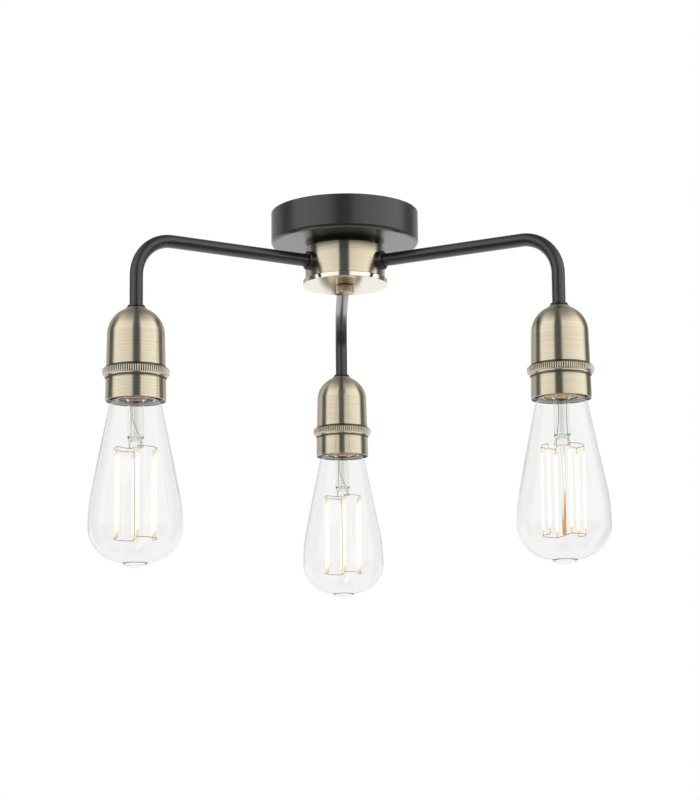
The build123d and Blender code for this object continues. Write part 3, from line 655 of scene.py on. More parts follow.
# Arm collars: black round nuts with a bevelled face, drawn tight between each tube's shoulder and
# its seat on the hub.
COLLAR_RADIUS = round((collar_high.z - collar_low.z) / 2 / MM, 2)
collar_inner = round(collar_low.y / MM, 1)
collar_outer = round(collar_high.y / MM, 1)
collar = lathe("arm_collar", rounded(
    (COLLAR_RADIUS, collar_inner, 0.1),
    (COLLAR_RADIUS, collar_outer - 0.6, 0.3),
    (COLLAR_RADIUS - 0.8, collar_outer, 0.3),
    (ARM_DIAMETER / 2 + 0.05, collar_outer, 0.3),
    (ARM_DIAMETER / 2 + 0.05, collar_inner, 0.1),
), around=96)
collar.transform(Matrix.Translation((0, 0, arm_level * MM)) @ LEVEL_OUT)
on_arms("arm_collar", "nut", collar, black_paint, "black_paint")


# Lamp leads: two cores in a black sleeve, from each socket through its arm and the hub to a pole of
# the terminal block.
LEAD_DIAMETER = 4.0
LEAD_RISE = 9.2
POLES = {"left": -8.0, "right": 8.0, "back": 0.0}
POLE_ENTRY = 20.8
ENTRY_LEVEL = -16.6
sleeve = plain_finish("black sleeve", (0.02, 0.02, 0.02), (0.05, 0.05, 0.05), 0.62, grain=1500.0, bump=0.0001)
lead_end = round(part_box("lamp_lead_back")[0].z / MM, 1)
for arm, azimuth in ARMS.items():
    out = Vector((cos(radians(azimuth)), sin(radians(azimuth)), 0))
    lead = swept(f"lamp_lead_{arm}", [[
        (out * arm_reach + Vector((0, 0, lead_end)), 0),
        (out * arm_reach + Vector((0, 0, arm_level)), ARM_BEND),
        (out * LEAD_RISE + Vector((0, 0, arm_level)), 7.0),
        (out * LEAD_RISE + Vector((0, 0, ENTRY_LEVEL)), 5.5),
        ((POLES[arm], POLE_ENTRY, ENTRY_LEVEL), 0),
    ]], LEAD_DIAMETER - 0.1, 20, sleeve)
    piece(f"lead_sleeve_{arm}", lead, sleeve, "fitting", "lead_sleeve", f"lamp_lead_{arm}")


# Lampholder domes: spun brass shells with a small collar round the tube and a boss inside for its
# thread, brushed on the lathe.
def at(centre, radius, angle):
    """The point at an angle in degrees from a centre."""
    return (centre[0] + radius * cos(radians(angle)), centre[1] + radius * sin(radians(angle)))


SATIN = (0.88, 0.79, 0.60), (0.70, 0.61, 0.44), 0.26
DOME_SHEET = 0.9
DOME_CURVE = 18.85
DOME_SHOULDER = 19.75
DOME_CENTRE_LEVEL = -107.75
NECK_RADIUS = 6.0
BOSS_RADIUS = 7.5
BOSS_BOTTOM = -93.5
TUBE_FIT = ARM_DIAMETER / 2 + 0.05

# Painted shade darkens the dome above a level at the top of its neck.
dome_brass = turned_brass("dome brass", *SATIN, painted_shade_level=(NECK_SHOULDER + 0.6) * MM, grain=0.9)
dome_radius, ring_top, neck_top = size_of("holder_dome_back")
curve_centre = (DOME_SHOULDER - DOME_CURVE, DOME_CENTRE_LEVEL)
inner_curve = DOME_CURVE - DOME_SHEET
neck_angle = degrees(acos((NECK_RADIUS - curve_centre[0]) / DOME_CURVE))
boss_angle = degrees(acos((BOSS_RADIUS - curve_centre[0]) / inner_curve))
neck_foot = neck_angle - 7.0
boss_head = DOME_CENTRE_LEVEL + inner_curve * sin(radians(boss_angle))
dome = lathe("holder_dome", [
    line((dome_radius, ring_top), (DOME_SHOULDER, DOME_CENTRE_LEVEL)),
    arc(curve_centre, DOME_CURVE, 0, neck_foot, step=3.0),
    line(at(curve_centre, DOME_CURVE, neck_foot), (NECK_RADIUS, neck_top - 0.9)),
    line((NECK_RADIUS, neck_top - 0.9), (NECK_RADIUS, neck_top - 0.4)),
    arc((NECK_RADIUS - 0.4, neck_top - 0.4), 0.4, 0, 90, step=30.0),
    line((NECK_RADIUS - 0.4, neck_top), (TUBE_FIT, neck_top)),
    line((TUBE_FIT, neck_top), (TUBE_FIT, BOSS_BOTTOM)),
    line((TUBE_FIT, BOSS_BOTTOM), (BOSS_RADIUS, BOSS_BOTTOM)),
    line((BOSS_RADIUS, BOSS_BOTTOM), (BOSS_RADIUS, boss_head)),
    arc(curve_centre, inner_curve, boss_angle, 0, step=4.0),
    line((DOME_SHOULDER - DOME_SHEET, DOME_CENTRE_LEVEL), (dome_radius - DOME_SHEET, ring_top)),
    line((dome_radius - DOME_SHEET, ring_top), (dome_radius, ring_top)),
])
on_arms("holder_dome", "shell", dome, dome_brass, "satin_brass", arm_reach)


# Knurled rings: turned brass rings gripped between dome and skirt. Straight grooves are cut all
# round the band and run out on the tapered underside, and painted shade darkens them.
def repeater():
    """A tree that repeats a mesh round Z and joins the copies into one."""
    tree, graph, given = geometry_tree("repeat round", {
        "Count": "NodeSocketInt",
        "Weld": "NodeSocketFloat",
        "Finish": "NodeSocketMaterial",
    })
    points = graph.node("GeometryNodePoints", {}, {"Count": given.output("Count")})
    turn = graph.node("GeometryNodeInputIndex") * (2 * pi) / given.output("Count")
    copies = graph.node("GeometryNodeInstanceOnPoints", {}, {
        "Points": points,
        "Instance": given.output("Start"),
        "Rotation": graph.node("ShaderNodeCombineXYZ", {}, {"Z": turn}),
    })
    real = graph.node("GeometryNodeRealizeInstances", {}, {"Geometry": copies})
    sockets = {"Geometry": real, "Distance": given.output("Weld")}
    joined = graph.node("GeometryNodeMergeByDistance", {}, sockets)
    end_tree(graph, joined, given.output("Finish"))
    return tree


RIDGES = 90
GROOVE_DEPTH = 0.75
RING_TOP_BEVEL = 1.6
RING_BAND = 3.4
RING_LOW_BEVEL = 1.8
RING_FOOT_RADIUS = 21.3
SLEEVE_RADIUS = 19.2
SKIRT_FLARE = 0.3
repeat_tree = repeater()
ring_radius, ring_bottom, _ = size_of("holder_ring_back")
skirt_radius, rim_level, sleeve_top = size_of("holder_skirt_back")


def ring_outline(cut):
    """The ring's section as (radius, level, painted shade) points, as deep in a groove as the cut says."""
    floor = ring_radius - cut
    groove = cut / GROOVE_DEPTH
    band_top = ring_top - RING_TOP_BEVEL - 0.5
    band_low = band_top - RING_BAND
    foot = ring_top - RING_TOP_BEVEL - RING_BAND - RING_LOW_BEVEL
    low_share = 0.7 * cut / (ring_radius - RING_FOOT_RADIUS)
    waist = skirt_radius - SKIRT_FLARE
    # The third number is the share of painted shade: full in the undercut under the rim and on the bevel
    # under the dome, as deep as the cut in the grooves, and none on the rim.
    return [
        (SLEEVE_RADIUS + 0.05, ring_bottom, 1.0),
        (waist, ring_bottom, 0.7),
        (waist, foot - 1.25, 1.0),
        (RING_FOOT_RADIUS - 0.3, foot - 1.1, 1.0),
        (RING_FOOT_RADIUS - 0.05, foot - 0.85, 0.0),
        (RING_FOOT_RADIUS, foot - 0.2, 0.0),
        (RING_FOOT_RADIUS - 0.05, foot, 0.3),
        (floor, band_low - RING_LOW_BEVEL * low_share, groove),
        (floor, band_top - 0.15, groove),
        (ring_radius - 0.15, band_top + 0.05, 0.2),
        (ring_radius - 0.7, band_top + 0.5, 1.0),
        (dome_radius, ring_top, 1.0),
        (SLEEVE_RADIUS + 0.05, ring_top, 1.0),
    ]


def marked(name, points, faces, mark, shares):
    """A mesh with a UV map whose U is a share given for every point."""
    mesh = bpy.data.meshes.new(name)
    mesh.from_pydata(points, [], faces)
    mesh.uv_layers.new(name=mark).uv.foreach_set("vector", [
        number for face in mesh.polygons for corner in face.vertices for number in (shares[corner], 0.5)
    ])
    return mesh


def ridge():
    """One ridge of the ring with half a groove on each side. Its UV map's U is the share of painted shade."""
    half = pi / RIDGES
    cuts = [
        (-half, GROOVE_DEPTH),
        (-half * 0.66, GROOVE_DEPTH * 0.8),
        (-half * 0.48, 0.14),
        (-half * 0.18, 0.0),
        (half * 0.18, 0.0),
        (half * 0.48, 0.14),
        (half * 0.66, GROOVE_DEPTH * 0.8),
        (half, GROOVE_DEPTH),
    ]
    points, faces, shares = [], [], []
    for angle, cut in cuts:
        for across, level, patina in ring_outline(cut):
            points.append(Vector((across * cos(angle), across * sin(angle), level)) * MM)
            shares.append(patina)
    corners = len(points) // len(cuts)
    for step in range(len(cuts) - 1):
        for corner in range(corners):
            beside = (corner + 1) % corners
            low, high = step * corners, (step + 1) * corners
            faces.append([low + corner, high + corner, high + beside, low + beside])
    return marked("ridge", points, faces, "patina", shares)


def knurled_finish():
    """The ring's brass, dark with painted shade in the grooves and recesses, and bright on the crests."""
    made, graph = material("knurled brass")
    where = graph.where()
    patina = graph.split(graph.node("ShaderNodeUVMap", {"uv_map": "patina"}))
    cloud = noise(graph, where, 150.0, 3.0)
    fine = noise(graph, where, 2500.0, 2.0)
    # Painted shade by the outline's share, with a little random tone.
    dull = patina * 0.9 + cloud * 0.1
    surface(graph, {
        "Base Color": between(graph, dull, (0.90, 0.81, 0.63), PAINTED_SHADE),
        "Metallic": 1.0,
        "Roughness": 0.14 + dull * 0.24,
        "Normal": graph.bump(fine, 0.00001),
    })
    return made


knurled_brass = knurled_finish()
ring = grown("holder_ring", ridge(), repeat_tree, {
    "Count": RIDGES,
    "Weld": 0.005 * MM,
    "Finish": knurled_brass,
})
ring.shade_smooth()
ring.set_sharp_from_angle(angle=radians(48))
on_arms("holder_ring", "knurl", ring, knurled_brass, "satin_brass", arm_reach)


# Skirts: turned brass sleeves that screw up into the dome through the ring. The thin wall flares a
# little towards a rolled rim that hides the socket.
SKIRT_WALL = 0.8
SKIRT_STEP = 1.4
skirt_length = (ring_bottom - rim_level) * 2 + (sleeve_top - ring_bottom) * 2
# Painted shade darkens the skirt's inner wall above the rim, and painted light from the filaments glows on it
# in streaks.
skirt_brass = turned_brass(
    "skirt brass", *SATIN, painted_inside_from=(skirt_length - 9.0) * MM, grain=0.9, glow=(0.22, 0.215, 0.20)
)
skirt = lathe("holder_skirt", rounded(
    (skirt_radius, rim_level, 0.35),
    (skirt_radius - SKIRT_FLARE, ring_bottom, 0.1),
    (SLEEVE_RADIUS, ring_bottom, 0.1),
    (SLEEVE_RADIUS, sleeve_top, 0.3),
    (SLEEVE_RADIUS - 0.9, sleeve_top, 0.2),
    (SLEEVE_RADIUS - 0.9, ring_bottom - SKIRT_STEP, 0.1),
    (skirt_radius - SKIRT_FLARE - SKIRT_WALL, ring_bottom - SKIRT_STEP, 0.2),
    (skirt_radius - SKIRT_WALL, rim_level, 0.35),
))
on_arms("holder_skirt", "sleeve", skirt, skirt_brass, "satin_brass", arm_reach)


# Socket inserts and contacts: black moulded cores inside the skirts, each with a sprung bronze strip
# that meets the bulb's tip. They hardly show, and keep their CAD solids.
black_moulding = plain_finish("black moulding", (0.018, 0.018, 0.018), (0.03, 0.03, 0.03), 0.36, grain=500.0)
for arm in ARMS:
    dress(f"holder_insert_{arm}", black_moulding)
    dress(f"centre_contact_{arm}", bare_brass)


# Threaded shells: thin brass rolled into the round screw thread that takes the bulb's cap, one in
# the insert of each lampholder.
CAP_PITCH = 3.63
SHELL_SHEET = 0.4
SHELL_THREAD_DEPTH = 0.2
shell_radius, shell_bottom, shell_top = size_of("thread_shell_back")
shell_outline = rounded(
    (shell_radius, shell_bottom, 0.1),
    (shell_radius, shell_top, 0.1),
    (shell_radius - SHELL_SHEET, shell_top, 0.1),
    (shell_radius - SHELL_SHEET, shell_bottom, 0.1),
)
socket_shell = threaded(
    "thread_shell", shell_outline, bare_brass, CAP_PITCH, SHELL_THREAD_DEPTH, shell_bottom, shell_top, 1.0
)
on_arms("thread_shell", "rolled", socket_shell, bare_brass, "terminal_brass", arm_reach)


# Bulb screw caps: thin bright brass rolled into the same thread, with a crimped lower edge round the
# neck of the glass and a lead-free solder contact at the tip.
CAP_SHEET = 0.35
CAP_THREAD_DEPTH = 0.9
CAP_SHOULDER = -131.6
CAP_TOP = -129.6
CAP_TOP_RADIUS = 11.0
BUTTON_RADIUS = 4.8
BUTTON_CURVE = 9.8
BUTTON_LEVEL = -127.0
BULB_TURNS = {"left": -50.0, "right": 12.0, "back": 64.0}
solder = plain_finish("solder", (0.45, 0.45, 0.44), (0.62, 0.62, 0.60), 0.38, 1.0, grain=900.0)

cap_radius, cap_edge, cap_tip = size_of("bulb_cap_back")
# Painted shade darkens the cap's inner wall, and painted light from the filaments glows gold on it in
# streaks.
inner_wall_from = (CAP_SHOULDER - cap_edge + 3.5) * MM
cap_brass = turned_brass(
    "cap brass", (0.86, 0.64, 0.32), (0.74, 0.50, 0.22), 0.22,
    painted_inside_from=inner_wall_from,
    glow=(0.72, 0.45, 0.21),
)
cap_outline = rounded(
    (cap_radius, cap_edge, 0.15),
    (cap_radius, CAP_SHOULDER, 1.2),
    (CAP_TOP_RADIUS, CAP_TOP, 0.1),
    (CAP_TOP_RADIUS - 0.4, CAP_TOP - 0.4, 0.1),
    (cap_radius - CAP_SHEET, CAP_SHOULDER - 0.4, 0.8),
    (cap_radius - CAP_SHEET, cap_edge, 0.1),
)
cap = threaded(
    "bulb_cap", cap_outline, cap_brass, CAP_PITCH, CAP_THREAD_DEPTH, cap_edge + 2.0, CAP_SHOULDER, 1.0, 128
)
button = lathe("cap_button", [
    line((0, BUTTON_LEVEL), (BUTTON_RADIUS, BUTTON_LEVEL)),
    arc((BUTTON_RADIUS - 0.4, BUTTON_LEVEL + 0.4), 0.4, -90, 60, step=25.0),
    arc((0, cap_tip - BUTTON_CURVE), BUTTON_CURVE, 63, 90, step=5.0),
])
on_arms("bulb_cap", "shell", cap, cap_brass, "cap_brass", arm_reach, BULB_TURNS)
on_arms("bulb_cap", "contact", button, solder, "cap_brass", arm_reach, BULB_TURNS, replace=False)
for arm in ARMS:
    dress(f"bulb_insulator_{arm}", black_moulding)


# Bulb drivers: a small round green board with its parts inside each cap. They hardly show, and
# keep their CAD solids.
board_green = plain_finish("circuit board", (0.03, 0.13, 0.06), (0.05, 0.18, 0.08), 0.4, grain=900.0)
for arm in ARMS:
    dress(f"bulb_driver_{arm}", board_green)


# Bulb glasses: clear blown pears with a round shoulder under the cap, a long side that bows out to
# the belly, a flat crown and the small pip left where the mould was pinched.
def clear_glass(name, tint):
    """Clear glass with a slow waviness of blowing and a trace of dust in its roughness."""
    made, graph = material(name)
    where = graph.where()
    wave = noise(graph, where, 35.0, 1.0)
    dust = noise(graph, where, 900.0, 2.0)
    surface(graph, {
        "Base Color": (*tint, 1.0),
        "Transmission Weight": 1.0,
        "IOR": 1.47,
        "Roughness": dust * 0.015,
        "Normal": graph.bump(wave, 0.0002, 0.3),
    })
    return made


GLASS_WALL = 0.8
GLASS_NECK = 12.6
GLASS_TOP = -147.0
SHOULDER_LEVEL = cap_edge - 0.35
SHOULDER_RADIUS = 3.2
SHOULDER_CENTRE = (14.4, SHOULDER_LEVEL - SHOULDER_RADIUS)
BELLY_LEVEL = -239.2
SIDE_RADIUS = 132.0
BELLY_RADIUS = 24.0
CROWN_RADIUS = 47.0
PIP_RADIUS = 8.5
PIP_HOLLOW = 0.9
bulb_glass_finish = clear_glass("bulb glass", (0.95, 0.95, 0.945))
bulb_radius, tip_level, _ = size_of("bulb_glass_back")
side_centre = (bulb_radius - SIDE_RADIUS, BELLY_LEVEL)
belly_centre = (bulb_radius - BELLY_RADIUS, BELLY_LEVEL)
crown_rise = sqrt((CROWN_RADIUS - BELLY_RADIUS) ** 2 - belly_centre[0] ** 2)
crown_centre = (0, BELLY_LEVEL + crown_rise)
crown_turn = degrees(atan2(crown_rise, belly_centre[0]))
across = SHOULDER_CENTRE[0] - side_centre[0]
rise = SHOULDER_CENTRE[1] - side_centre[1]
lean = degrees(atan2(rise, across) - acos((SIDE_RADIUS - SHOULDER_RADIUS) / hypot(across, rise)))


def glass_side(inset, lowest, fine):
    """The glass's outline from a place on the crown up to the neck, moved inwards by the inset."""
    shoulder = SHOULDER_RADIUS - inset
    side = SIDE_RADIUS - inset
    neck = GLASS_NECK - inset
    top = SHOULDER_LEVEL - inset
    return [
        arc(crown_centre, CROWN_RADIUS - inset, lowest, -crown_turn, step=fine),
        arc(belly_centre, BELLY_RADIUS - inset, -crown_turn, 0, step=fine),
        arc(side_centre, side, 0, lean, step=fine / 3),
        line(at(side_centre, side, lean), at(SHOULDER_CENTRE, shoulder, lean)),
        arc(SHOULDER_CENTRE, shoulder, lean, 90, step=10.0),
        line((SHOULDER_CENTRE[0], top), (neck, top)),
        line((neck, top), (neck, GLASS_TOP)),
    ]


pip_angle = -degrees(acos(PIP_RADIUS / CROWN_RADIUS))
pip_height = at(crown_centre, CROWN_RADIUS, pip_angle)[1] - tip_level
pip_curve = (PIP_RADIUS**2 + pip_height**2) / (2 * pip_height)
pip_level = tip_level + pip_curve
crown_reach, pip_reach = CROWN_RADIUS + PIP_HOLLOW, pip_curve + PIP_HOLLOW
apart = pip_level - crown_centre[1]
hollow_level = (crown_reach**2 - pip_reach**2 + apart**2) / (2 * apart)
hollow_centre = (sqrt(crown_reach**2 - hollow_level**2), crown_centre[1] + hollow_level)
crown_meets = degrees(atan2(hollow_level, hollow_centre[0]))
pip_meets = degrees(atan2(hollow_centre[1] - pip_level, hollow_centre[0]))
outer_wall = glass_side(0, crown_meets, 1.2)
inner_wall = [stretch[::-1] for stretch in glass_side(GLASS_WALL, -90, 1.8)[::-1]]
inner_wall = [[(point, -normal) for point, normal in stretch] for stretch in inner_wall]
glass = lathe("bulb_glass", [
    arc((0, pip_level), pip_curve, -90, pip_meets, step=4.0),
    arc(hollow_centre, PIP_HOLLOW, pip_meets + 180, crown_meets + 180, step=6.0),
    *outer_wall,
    line((GLASS_NECK, GLASS_TOP), (GLASS_NECK - GLASS_WALL, GLASS_TOP)),
    *inner_wall,
], around=256)
on_arms("bulb_glass", "pear", glass, bulb_glass_finish, "clear_glass", arm_reach, BULB_TURNS)


# Bulb stems: a glass tube that flares out inside the cap, with the exhaust tube down its middle. Its
# lower end is pinched flat round the leads, and a slim glass rod runs down from it.
STEM_RADIUS = 5.65
STEM_WALL = 0.7
STEM_TAPER = 3.0
STEM_FLARE = 5.0
STEM_BOTTOM = -185.8
PINCH_TOP = STEM_BOTTOM + 4.2
STEM_ROD_RADIUS = 1.5
EXHAUST_RADIUS = 1.3
EXHAUST_WALL = 0.35
EXHAUST_BOTTOM = PINCH_TOP + 5.0
stem_glass = clear_glass("stem glass", (0.97, 0.975, 0.965))
_, stem_rod_bottom, stem_top = size_of("bulb_stem_back")
flare = GLASS_NECK - GLASS_WALL - 0.1
stem_bore = STEM_RADIUS - STEM_WALL
stem = lathe("bulb_stem", rounded(
    (0.0, PINCH_TOP + 0.3, 0.0),
    (STEM_RADIUS - 0.6, PINCH_TOP + 0.3, 0.4),
    (STEM_RADIUS, PINCH_TOP + STEM_TAPER, 2.0),
    (STEM_RADIUS, stem_top - STEM_FLARE, 2.5),
    (flare, stem_top, 0.2),
    (flare - 1.2, stem_top, 0.2),
    (stem_bore, stem_top - STEM_FLARE, 2.5),
    (stem_bore, PINCH_TOP + STEM_TAPER, 1.5),
    (0.0, PINCH_TOP + 1.2, 0.0),
)[:-1], around=96)
exhaust = lathe("exhaust_tube", rounded(
    (EXHAUST_RADIUS - EXHAUST_WALL, EXHAUST_BOTTOM, 0.1),
    (EXHAUST_RADIUS, EXHAUST_BOTTOM, 0.15),
    (EXHAUST_RADIUS, stem_top, 0.1),
    (EXHAUST_RADIUS - EXHAUST_WALL, stem_top, 0.1),
), around=32)
pinch = lathe("stem_pinch", rounded(
    (0.0, STEM_BOTTOM, 0.0),
    (STEM_RADIUS + 0.3, STEM_BOTTOM, 0.8),
    (STEM_RADIUS - 0.7, PINCH_TOP, 1.2),
    (0.0, PINCH_TOP, 0.0),
)[:-1], around=64, true_normals=False)
pinch.transform(Matrix.Diagonal((1.0, 0.5, 1.0, 1.0)))
stem_rod = lathe("stem_rod", [
    arc((0, stem_rod_bottom + STEM_ROD_RADIUS), STEM_ROD_RADIUS, -90, 0, step=15.0),
    line((STEM_ROD_RADIUS, stem_rod_bottom + STEM_ROD_RADIUS), (STEM_ROD_RADIUS, STEM_BOTTOM - 0.1)),
    line((STEM_ROD_RADIUS, STEM_BOTTOM - 0.1), (0, STEM_BOTTOM - 0.1)),
], around=48)
for part, mesh in (("tube", stem), ("exhaust", exhaust), ("pinch", pinch), ("rod", stem_rod)):
    on_arms("bulb_stem", part, mesh, stem_glass, "clear_glass", arm_reach, BULB_TURNS, replace=part == "tube")


# Bulb filaments: straight strips of light-emitting chips under a warm phosphor coat, six to a bulb,
# lit. A metal tab at each end glows orange with painted light, as if lit by the strips.
def lit_finish(name, middle, edge, strength):
    """The lit phosphor, whitest along the middle of the strip."""
    made, graph = material(name)
    share = graph.split(graph.node("ShaderNodeUVMap", {"uv_map": "across"}))
    grain = noise(graph, graph.where(), 700.0, 1.0)
    surface(graph, {
        "Base Color": (0.9, 0.75, 0.4, 1.0),
        "Roughness": 0.5 + grain * 0.1,
        "Emission Color": between(graph, share, middle, edge),
        "Emission Strength": strength,
    })
    return made


def strip(width, thickness, low, high, rounding):
    """A strip with rounded sides, upright between two levels, and a UV map that runs across it."""
    sides = 16
    flat = 0.7
    levels = [(low, 0.4), (low + rounding, 1.0), (high - rounding, 1.0), (high, 0.4)]
    points, faces, shares = [], [], []
    for level, scale in levels:
        for side in range(sides):
            angle = 2 * pi * side / sides
            x = thickness / 2 * abs(cos(angle)) ** flat * (1 if cos(angle) > 0 else -1)
            y = width / 2 * abs(sin(angle)) ** flat * (1 if sin(angle) > 0 else -1)
            points.append(Vector((x * scale, y * scale, level)) * MM)
            shares.append(abs(sin(angle)) ** 3)
    for step in range(len(levels) - 1):
        for side in range(sides):
            beside = (side + 1) % sides
            base = step * sides
            faces.append([base + side, base + beside, base + beside + sides, base + side + sides])
    faces.append(list(range(sides))[::-1])
    faces.append([3 * sides + side for side in range(sides)])
    return marked("strip", points, faces, "across", shares)


STRIPS = 6
STRIP_RING = 14.6
STRIP_WIDTH = 1.9
STRIP_THICKNESS = 1.2
TAB_LENGTH = 3.2
phosphor = lit_finish("lit phosphor", (1.0, 0.97, 0.84), (1.0, 0.86, 0.48), 1.3)
# The tabs are metal: their orange glow is painted light, as if lit by the strips.
tab_painted_light = lit_finish("lit tab", (0.90, 0.44, 0.07), (0.80, 0.34, 0.04), 0.75)
_, strip_low, strip_high = size_of("bulb_filaments_back")
body_strip = strip(STRIP_WIDTH, STRIP_THICKNESS, strip_low + TAB_LENGTH, strip_high - TAB_LENGTH, 0.4)
end_strip = strip(STRIP_WIDTH * 0.8, STRIP_THICKNESS * 0.8, 0.0, TAB_LENGTH, 0.8)
body_strip.transform(Matrix.Translation((STRIP_RING * MM, 0, 0)))
strips = grown("strips", body_strip, repeat_tree, {"Count": STRIPS, "Weld": 0.0, "Finish": phosphor})
parts = [("strips", strips, phosphor)]
for end, level in (("lower", strip_low), ("upper", strip_high - TAB_LENGTH)):
    tab = end_strip.copy()
    tab.transform(Matrix.Translation((STRIP_RING * MM, 0, level * MM)))
    tabs = grown("tabs", tab, repeat_tree, {"Count": STRIPS, "Weld": 0.0, "Finish": tab_painted_light})
    parts.append((end + "_tabs", tabs, tab_painted_light))
for part, mesh, finish in parts:
    mesh.shade_smooth()
    mesh.set_sharp_from_angle(angle=radians(60))
    first = part == "strips"
    on_arms("bulb_filaments", part, mesh, finish, "lit_filament", arm_reach, BULB_TURNS, replace=first)


# Bulb wires: thin nickel wire. Two level arcs above leave the foot of the stem, and two below meet
# under the rod. Each carries three strips on short drops. The leads run up inside the stem, and a
# copper wire lies along the rod.
WIRE = 0.5
WIRE_SIDES = 10
WIRE_DROP = 1.4
WIRE_GRIP = 0.3
WIRE_FOOT = 3.6
LEAD_FOOT = 3.7
ROD_WIRE = 0.4
nickel = plain_finish("nickel wire", (0.30, 0.27, 0.23), (0.45, 0.40, 0.34), 0.3, 1.0, grain=900.0)
copper_wire = plain_finish("copper wire", (0.75, 0.32, 0.10), (0.85, 0.42, 0.16), 0.3, 1.0, grain=900.0)
upper_level = strip_high + WIRE_DROP
lower_level = strip_low - WIRE_DROP


def round_arc(start, end, level):
    """Points of a level arc through the strips, about the bulb's axis."""
    count = ceil(abs(end - start) / 10)
    route = []
    for place in range(count + 1):
        angle = radians(start + (end - start) * place / count)
        route.append(((STRIP_RING * cos(angle), STRIP_RING * sin(angle), level), 0))
    return route


routes = [
    [((WIRE_FOOT, 0.0, upper_level), 0)] + round_arc(60, -60, upper_level),
    [((-WIRE_FOOT, 0.0, upper_level), 0)] + round_arc(120, 240, upper_level),
    round_arc(60, -60, lower_level) + [((0.2, -0.6, lower_level), 0)],
    [((-0.2, 0.6, lower_level), 0)] + round_arc(120, 240, lower_level),
]
for place in range(STRIPS):
    angle = 2 * pi * place / STRIPS
    across, depth = STRIP_RING * cos(angle), STRIP_RING * sin(angle)
    routes.append([((across, depth, strip_high - WIRE_GRIP), 0), ((across, depth, upper_level), 0)])
    routes.append([((across, depth, strip_low + WIRE_GRIP), 0), ((across, depth, lower_level), 0)])
wires = swept("bulb_wires", routes, WIRE, WIRE_SIDES, nickel)
rod_route = [((0.5, 1.7, STEM_BOTTOM - 0.6), 0), ((-0.4, 1.8, stem_rod_bottom + 1.0), 0)]
rod_wire = swept("rod_wire", [rod_route], ROD_WIRE, WIRE_SIDES, copper_wire)
LEAD_TOPS = {"left": (4.0, 2.8), "right": (3.8, -2.4), "back": (4.0, 2.8)}
for arm, azimuth in ARMS.items():
    leads = swept(f"bulb_leads_{arm}", [[
        ((top, 0.6, stem_top - 2.0), 0),
        ((top * 0.85, 0.3, stem_top - 18.0), 6.0),
        ((foot, 0.0, PINCH_TOP + 2.0), 3.0),
        ((foot, 0.0, upper_level), 0),
    ] for top, foot in zip(LEAD_TOPS[arm], (LEAD_FOOT, -LEAD_FOOT))], WIRE, WIRE_SIDES, nickel)
    leads = placed(leads, azimuth, arm_reach, BULB_TURNS[arm])
    piece(f"bulb_wires_{arm}_leads", leads, nickel, f"bulb_{arm}", "nickel_wire")
on_arms("bulb_wires", "bent", wires, nickel, "nickel_wire", arm_reach, BULB_TURNS)
on_arms("bulb_wires", "rod", rod_wire, copper_wire, "nickel_wire", arm_reach, BULB_TURNS, replace=False)


# Studio: a pale floor well below, a white surround that shiny surfaces see darken overhead, and
# upright dark cards with soft edges that only reflections see.
FLOOR_LEVEL = -0.9
FLOOR_REACH = 4.0


def stage_sheet(name, corners, finish):
    """A flat sheet of the studio with a UV map from corner to corner, which isn't part of the light."""
    mesh = bpy.data.meshes.new(name)
    mesh.from_pydata([Vector(corner) for corner in corners], [], [[0, 1, 2, 3]])
    mesh.uv_layers.new(name="sheet").uv.foreach_set("vector", [0, 0, 1, 0, 1, 1, 0, 1])
    mesh.materials.append(finish)
    made = in_scene(name, mesh)
    return made


def rays(graph):
    """Whether a ray is the camera's or has come through glass, and whether it is a reflection."""
    path = graph.node("ShaderNodeLightPath")
    direct = path.maths("MAXIMUM", path.output("Is Camera Ray"), path.output("Is Transmission Ray"))
    return direct, path.output("Is Glossy Ray")


floor_finish, graph = material("floor")
matt = graph.node("ShaderNodeBsdfDiffuse", {}, {"Color": (0.8, 0.8, 0.8, 1.0)})
direct, glossy = rays(graph)
seen = direct.maths("MAXIMUM", direct, glossy)
place = graph.split(graph.where(), "Y")
behind = fades(place, -0.5, 0.1, 0.06, 1.0)
white = graph.node("ShaderNodeEmission", {}, {"Color": direct + (1.0 - direct) * behind, "Strength": 1.0})
mixed = graph.node("ShaderNodeMixShader", {}, {0: seen * 0.9, 1: matt, 2: white})
graph.node("ShaderNodeOutputMaterial", {}, {"Surface": mixed})
stage_sheet("floor", [
    (-FLOOR_REACH, -FLOOR_REACH, FLOOR_LEVEL),
    (FLOOR_REACH, -FLOOR_REACH, FLOOR_LEVEL),
    (FLOOR_REACH, FLOOR_REACH, FLOOR_LEVEL),
    (-FLOOR_REACH, FLOOR_REACH, FLOOR_LEVEL),
], floor_finish)

PLAIN_LIGHT = 0.55
world = bpy.data.worlds.new("studio")
world.use_nodes = True
bpy.context.scene.world = world
graph = Graph(world.node_tree)
direct, glossy = rays(graph)
away = graph.split(graph.where("Generated"))
# Reflections see the surround darken overhead and behind the light, brighten towards the sides, and
# end in a bright patch straight behind it. Under the horizon only the near side is dark.
above = fades(away.output("Z"), 0.60, 0.95, 1.0, 0.27) * fades(away.output("Y"), 0.0, 0.5, 1.0, 0.40)
above = above * (0.89 + away.maths("ABSOLUTE", away) * 0.39 + away * 0.05)
above = above.maths("MAXIMUM", above, fades(away.output("Y"), 0.80, 0.95, 0.0, 0.85))
below = fades(away.output("Y"), -0.1, 0.1, 0.06, 1.0)
share = fades(away.output("Z"), -0.03, 0.06, 0.0, 1.0)
seen = above * share + below * (1.0 - share)
indirect = glossy * seen + (1.0 - glossy) * PLAIN_LIGHT
strength = direct + (1.0 - direct) * indirect
surround = graph.node("ShaderNodeBackground", {}, {"Color": (1.0, 1.0, 1.0, 1.0), "Strength": strength})
graph.node("ShaderNodeOutputWorld", {}, {"Surface": surround})


def hide(made, *kinds):
    """Hides an object from kinds of rays."""
    for kind in kinds:
        setattr(made, f"visible_{kind}", False)


